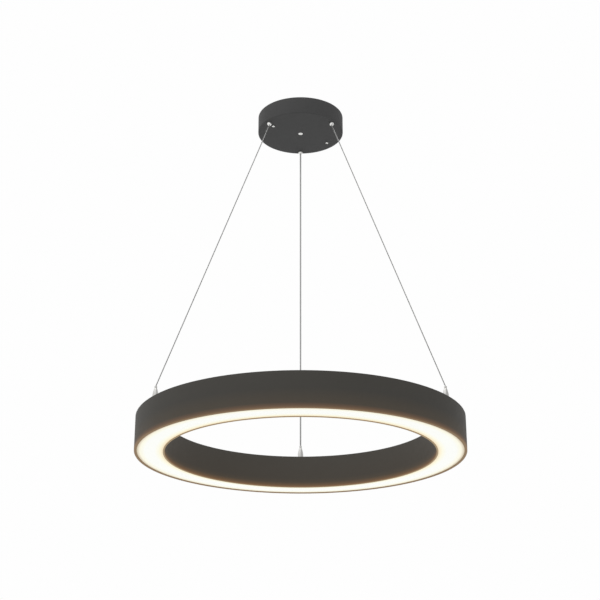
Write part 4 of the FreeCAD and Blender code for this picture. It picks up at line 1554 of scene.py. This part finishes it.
@dataclass
class Ring(SubAssembly):
    """The rolled channel and the opal sheet in its mouth.

    Args:
        breadth: breadth of the channel's section.
        wall: thickness of its walls.
        web: thickness of its top.
        outer_lip: breadth of the lip at its mouth's outer side.
        inner_lip: breadth of the lip at its mouth's inner side.
        lip_thick: thickness of those lips.
        edge: rounding of its outer edges.
        sides: sides of its circle.
        sheet: thickness of the opal sheet.
        gap: room between the sheet and the channel's walls.
        leg: thickness of the sheet's turned-up rims.
        leg_tall: height of those rims, sheet included.
        stud_hole: radius of the hole for a gripper's stud.
    """

    breadth: float = RING_BREADTH
    wall: float = 2.0 * MM
    web: float = 2.5 * MM
    outer_lip: float = OUTER_LIP
    inner_lip: float = INNER_LIP
    lip_thick: float = 1.2 * MM
    edge: float = 0.6 * MM
    sides: int = 256
    sheet: float = 2.0 * MM
    gap: float = 0.15 * MM
    leg: float = 1.2 * MM
    leg_tall: float = 7.0 * MM
    stud_hole: float = 4.0 * MM

    @property
    def inner(self) -> float:
        """Radius of the ring's hole."""
        return RING_RADIUS - self.breadth

    def housing(self) -> bpy.types.Object:
        """The channel, turned from its section, with a hole for each gripper.

        Returns:
            The channel.
        """
        tall = RING_TOP - RING_FOOT
        outer, inner, edge, nick = RING_RADIUS, self.inner, self.edge, 0.25 * MM
        web = tall - self.web
        section = [
            *arc((outer - edge, edge), edge, -90.0, 0.0, 4),
            *arc((outer - edge, tall - edge), edge, 0.0, 90.0, 4),
            *arc((inner + edge, tall - edge), edge, 90.0, 180.0, 4),
            *arc((inner + edge, edge), edge, 180.0, 270.0, 4),
            (inner + self.inner_lip - nick, 0.0),
            (inner + self.inner_lip, nick),
            (inner + self.inner_lip, self.lip_thick),
            (inner + self.wall, self.lip_thick),
            (inner + self.wall, web),
            (outer - self.wall, web),
            (outer - self.wall, self.lip_thick),
            (outer - self.outer_lip, self.lip_thick),
            (outer - self.outer_lip, nick),
            (outer - self.outer_lip + nick, 0.0),
        ]
        piece = turned("ring_channel", section, Vector((0, 0, RING_FOOT)), self.sides)
        down, through = Vector((0, 0, self.web / 2)), 2 * self.stud_hole
        cut(piece, [drill(self.stud_hole, s.grip - down, through) for s in STATIONS])
        return piece

    def opal(self) -> bpy.types.Object:
        """The opal sheet: flat between the lips, with rims turned up inside the walls.

        Returns:
            The sheet.
        """
        low = self.inner + self.wall + self.gap
        high = RING_RADIUS - self.wall - self.gap
        foot = self.lip_thick
        top = foot + self.leg_tall
        soft = 0.3 * MM
        section = [
            (low + soft, foot),
            (high - soft, foot),
            (high, foot + soft),
            (high, top),
            (high - self.leg, top),
            (high - self.leg, foot + self.sheet),
            (low + self.leg, foot + self.sheet),
            (low + self.leg, top),
            (low, top),
            (low, foot + soft),
        ]
        return turned("opal_sheet", section, Vector((0, 0, RING_FOOT)), self.sides)

    def build(self) -> None:
        """Models the channel and its sheet."""
        ring = Body.RING.value
        self.hand_over(self.housing(), ring, Slot.RING_PAINT, ["ring_housing"])
        self.hand_over(self.opal(), ring, Slot.OPAL, ["diffuser"])


# ---------------------------------------------------------------- carried-over parts


@dataclass
class CarriedParts(SubAssembly):
    """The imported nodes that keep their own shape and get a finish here.

    Args:
        finishes: the nodes of each slot, by name or by how their names start.
    """

    finishes: Mapping[Slot, tuple[str, ...]] = field(
        default_factory=lambda: {
            Slot.ZINC: (
                "ceiling_plate",
                "plate_standoffs",
                "bushing_nuts",
                "gripper_nuts",
                "splice_screws",
                "carrier_screws",
                "driver_screws",
                "terminal_screws",
                "earth_stud",
                "earth_nut",
                "gripper_balls",
            ),
            Slot.RUBBER: ("cable_grommet",),
            Slot.NICKEL_BRASS: ("anchor_left", "anchor_right", "anchor_far"),
            Slot.ROPE: ("wire_tail_left", "wire_tail_right"),
            Slot.INSULATION: ("supply_leads", "output_lead", "wire_tail_far"),
            Slot.DRIVER: ("driver_case", "driver_cover"),
            Slot.BOARD: ("driver_board",),
            Slot.COMPONENT: ("driver_parts",),
            Slot.TERMINAL: ("terminal_block", "feed_connector"),
            Slot.CARRIER: ("led_carrier", "splice_plate", "carrier_pillars"),
            Slot.LED_BOARD: ("led_board",),
            Slot.LED_CHIP: ("led_chips",),
            Slot.TINNED: ("board_jumpers", "feed_pins"),
        }
    )

    def build(self) -> None:
        """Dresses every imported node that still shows."""
        for name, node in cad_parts.items():
            if node.hide_render:
                continue
            slots = [s for s, starts in self.finishes.items() if name.startswith(starts)]
            if not slots:
                raise ValueError(f"{name} has no finish")
            self.shop.dress(node, slots[0])
            self.pieces.append(node)


# ---------------------------------------------------------------- studio


@dataclass
class Studio:
    """The camera, the pale floor, the white all round it, and the soft light.

    Args:
        camera_place: where the camera stands, in metres.
        camera_pitch: how far it looks up, in degrees.
        lens: its focal length, in millimetres.
        sensor: width of its sensor, in millimetres.
        clip: nearest and farthest distance that it shows.
        left: strength of the light from the left.
        right: strength of the light from the right.
        swing: how far to each side the light keeps changing.
        floor_level: height of the floor.
        floor_reach: radius of the floor.
        floor_tone: how much of the light the floor gives back.
        fade: distances from the lamp between which the floor turns white.
        fade_start: how white the floor is before that.
        white: brightness of the surroundings and of the floor's far part.
        panel_size: breadth of the grey panel.
        panel_place: where it stands.
        panel_turn: how far it turns round the vertical, in degrees.
        panel_tone: its brightness.
        lamp_size: breadth of the soft lamp.
        lamp_power: its power, in watts.
        lamp_place: where it hangs.
        lamp_aim: the point that it shines at.
    """

    camera_place: tuple[float, float, float] = (-0.0011, -2.2687, -1.2930)
    camera_pitch: float = 21.66
    lens: float = 77.148
    sensor: float = 36.0
    clip: tuple[float, float] = (0.01, 200.0)
    left: float = 0.98
    right: float = 0.85
    swing: float = 0.9
    floor_level: float = -3.0
    floor_reach: float = 30.0
    floor_tone: float = 0.9
    fade: tuple[float, float] = (3.4, 9.0)
    fade_start: float = 0.45
    white: float = 0.991
    panel_size: float = 5.0
    panel_place: tuple[float, float, float] = (1.35, -0.9, -0.6)
    panel_turn: float = -22.0
    panel_tone: float = 0.6
    lamp_size: float = 2.4
    lamp_power: float = 30.0
    lamp_place: tuple[float, float, float] = (-1.0, -0.9, 2.6)
    lamp_aim: tuple[float, float, float] = (0.0, 0.0, -0.4)

    def camera(self) -> None:
        """Stands the camera below the ring, looking up at it."""
        data = bpy.data.cameras.new("camera")
        data.lens = self.lens
        data.sensor_width = self.sensor
        data.clip_start, data.clip_end = self.clip
        camera = bpy.data.objects.new("camera", data)
        camera.location = self.camera_place
        camera.rotation_euler = (math.radians(90.0 + self.camera_pitch), 0.0, 0.0)
        bpy.context.scene.collection.objects.link(camera)
        bpy.context.scene.camera = camera

    def grey(self, tone: float) -> Colour:
        """A grey of a brightness."""
        return (tone, tone, tone, 1.0)

    def world(self) -> None:
        """Soft light from all round, a little stronger from the left, and a white view."""
        world = bpy.data.worlds.new("studio")
        bpy.context.scene.world = world
        tree = empty_tree(world)
        place = add_node(tree, "ShaderNodeTexCoord").outputs["Generated"]
        parts = add_node(tree, "ShaderNodeSeparateXYZ", links={"Vector": place})
        side = add_node(
            tree,
            "ShaderNodeMapRange",
            settings={"interpolation_type": "SMOOTHSTEP"},
            values={
                "From Min": -self.swing,
                "From Max": self.swing,
                "To Min": self.left,
                "To Max": self.right,
            },
            links={"Value": parts.outputs["X"]},
        )
        light = add_node(
            tree,
            "ShaderNodeBackground",
            values={"Color": self.grey(1.0)},
            links={"Strength": side.outputs["Result"]},
        )
        seen = {"Color": self.grey(1.0), "Strength": self.white}
        view = add_node(tree, "ShaderNodeBackground", values=seen)
        self.finish_tree(
            tree,
            "ShaderNodeOutputWorld",
            (self.seen_rays(tree), light.outputs["Background"], view.outputs["Background"]),
        )

    def finish_tree(
        self, tree: bpy.types.NodeTree, output: str, parts: tuple[Socket, Socket, Socket]
    ) -> None:
        """Mixes two shaders into a tree's output.

        Args:
            tree: the tree.
            output: the output node's type.
            parts: the second shader's share, the first shader and the second one.
        """
        mix = add_node(tree, "ShaderNodeMixShader", links=dict(enumerate(parts)))
        add_node(tree, output, links={"Surface": mix.outputs["Shader"]})

    def seen_rays(self, tree: bpy.types.NodeTree) -> Socket:
        """1 for a ray that shows the surroundings, seen straight or in metal or glass.

        Args:
            tree: the tree that gets the nodes.

        Returns:
            1 or 0.
        """
        rays = add_node(tree, "ShaderNodeLightPath").outputs
        first = combine(tree, "MAXIMUM", rays["Is Camera Ray"], rays["Is Glossy Ray"])
        return combine(tree, "MAXIMUM", first, rays["Is Transmission Ray"])

    def floor(self) -> bpy.types.Object:
        """A wide pale floor that keeps the lamp's shadow and fades into the white.

        Returns:
            The floor.
        """
        deselect_all()
        bpy.ops.mesh.primitive_circle_add(
            vertices=96,
            radius=self.floor_reach,
            fill_type="NGON",
            location=(0.0, 0.0, self.floor_level),
        )
        floor = settle(bpy.context.object, "floor")
        made = bpy.data.materials.new("plaster, painted matt white")
        tree = empty_tree(made)
        place = add_node(tree, "ShaderNodeTexCoord").outputs["Object"]
        far = add_node(
            tree,
            "ShaderNodeVectorMath",
            settings={"operation": "LENGTH"},
            links={0: place},
        )
        fade = add_node(
            tree,
            "ShaderNodeMapRange",
            settings={"interpolation_type": "SMOOTHSTEP"},
            values={
                "From Min": self.fade[0],
                "From Max": self.fade[1],
                "To Min": self.fade_start,
            },
            links={"Value": far.outputs["Value"]},
        )
        shown = combine(tree, "MULTIPLY", fade.outputs["Result"], self.seen_rays(tree))
        own = {"Color": self.grey(self.floor_tone)}
        matt = add_node(tree, "ShaderNodeBsdfDiffuse", values=own)
        white = {"Color": self.grey(1.0), "Strength": self.white}
        bright = add_node(tree, "ShaderNodeEmission", values=white)
        self.finish_tree(
            tree,
            "ShaderNodeOutputMaterial",
            (shown, matt.outputs["BSDF"], bright.outputs["Emission"]),
        )
        floor.data.materials.append(made)
        return floor

    def flag(self) -> bpy.types.Object:
        """A grey panel off to the right, which gives bright metal a darker half.

        Returns:
            The panel.
        """
        deselect_all()
        bpy.ops.mesh.primitive_plane_add(
            size=self.panel_size,
            location=self.panel_place,
            rotation=(0.0, math.radians(90.0), math.radians(self.panel_turn)),
        )
        panel = settle(bpy.context.object, "grey_panel")
        made = bpy.data.materials.new("cloth, grey")
        tree = empty_tree(made)
        dull = {"Color": self.grey(self.panel_tone), "Strength": 1.0}
        light = add_node(tree, "ShaderNodeEmission", values=dull).outputs["Emission"]
        add_node(tree, "ShaderNodeOutputMaterial", links={"Surface": light})
        panel.data.materials.append(made)
        panel.visible_camera = False
        panel.visible_diffuse = False
        panel.visible_shadow = False
        return panel

    def key_light(self) -> None:
        """A large soft lamp above and to the left, for a soft shadow on the floor."""
        data = bpy.data.lights.new("soft_box", "AREA")
        data.shape = "DISK"
        data.size = self.lamp_size
        data.energy = self.lamp_power
        lamp = bpy.data.objects.new("soft_box", data)
        lamp.location = self.lamp_place
        aim = Vector(self.lamp_aim) - lamp.location
        lamp.rotation_euler = aim.to_track_quat("-Z", "Y").to_euler()
        bpy.context.scene.collection.objects.link(lamp)

    def build(self) -> None:
        """Sets up the light and everything behind the lamp."""
        self.world()
        self.floor()
        self.flag()
        self.key_light()
        bpy.context.scene.view_settings.view_transform = "Standard"


def main() -> None:
    """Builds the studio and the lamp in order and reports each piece."""
    logging.basicConfig(level=logging.INFO, format="%(message)s")
    studio = Studio()
    studio.camera()
    shop = Paintshop()
    for assembly in (
        Suspension(shop),
        Canopy(shop),
        Grippers(shop),
        Ring(shop),
        CarriedParts(shop),
    ):
        assembly.build()
        for piece in assembly.pieces:
            group, faces = type(assembly).__name__, len(piece.data.polygons)
            LOG.info("%s: %s, %d faces", group, piece.name, faces)
    studio.build()


if __name__ == "__main__":
    main()
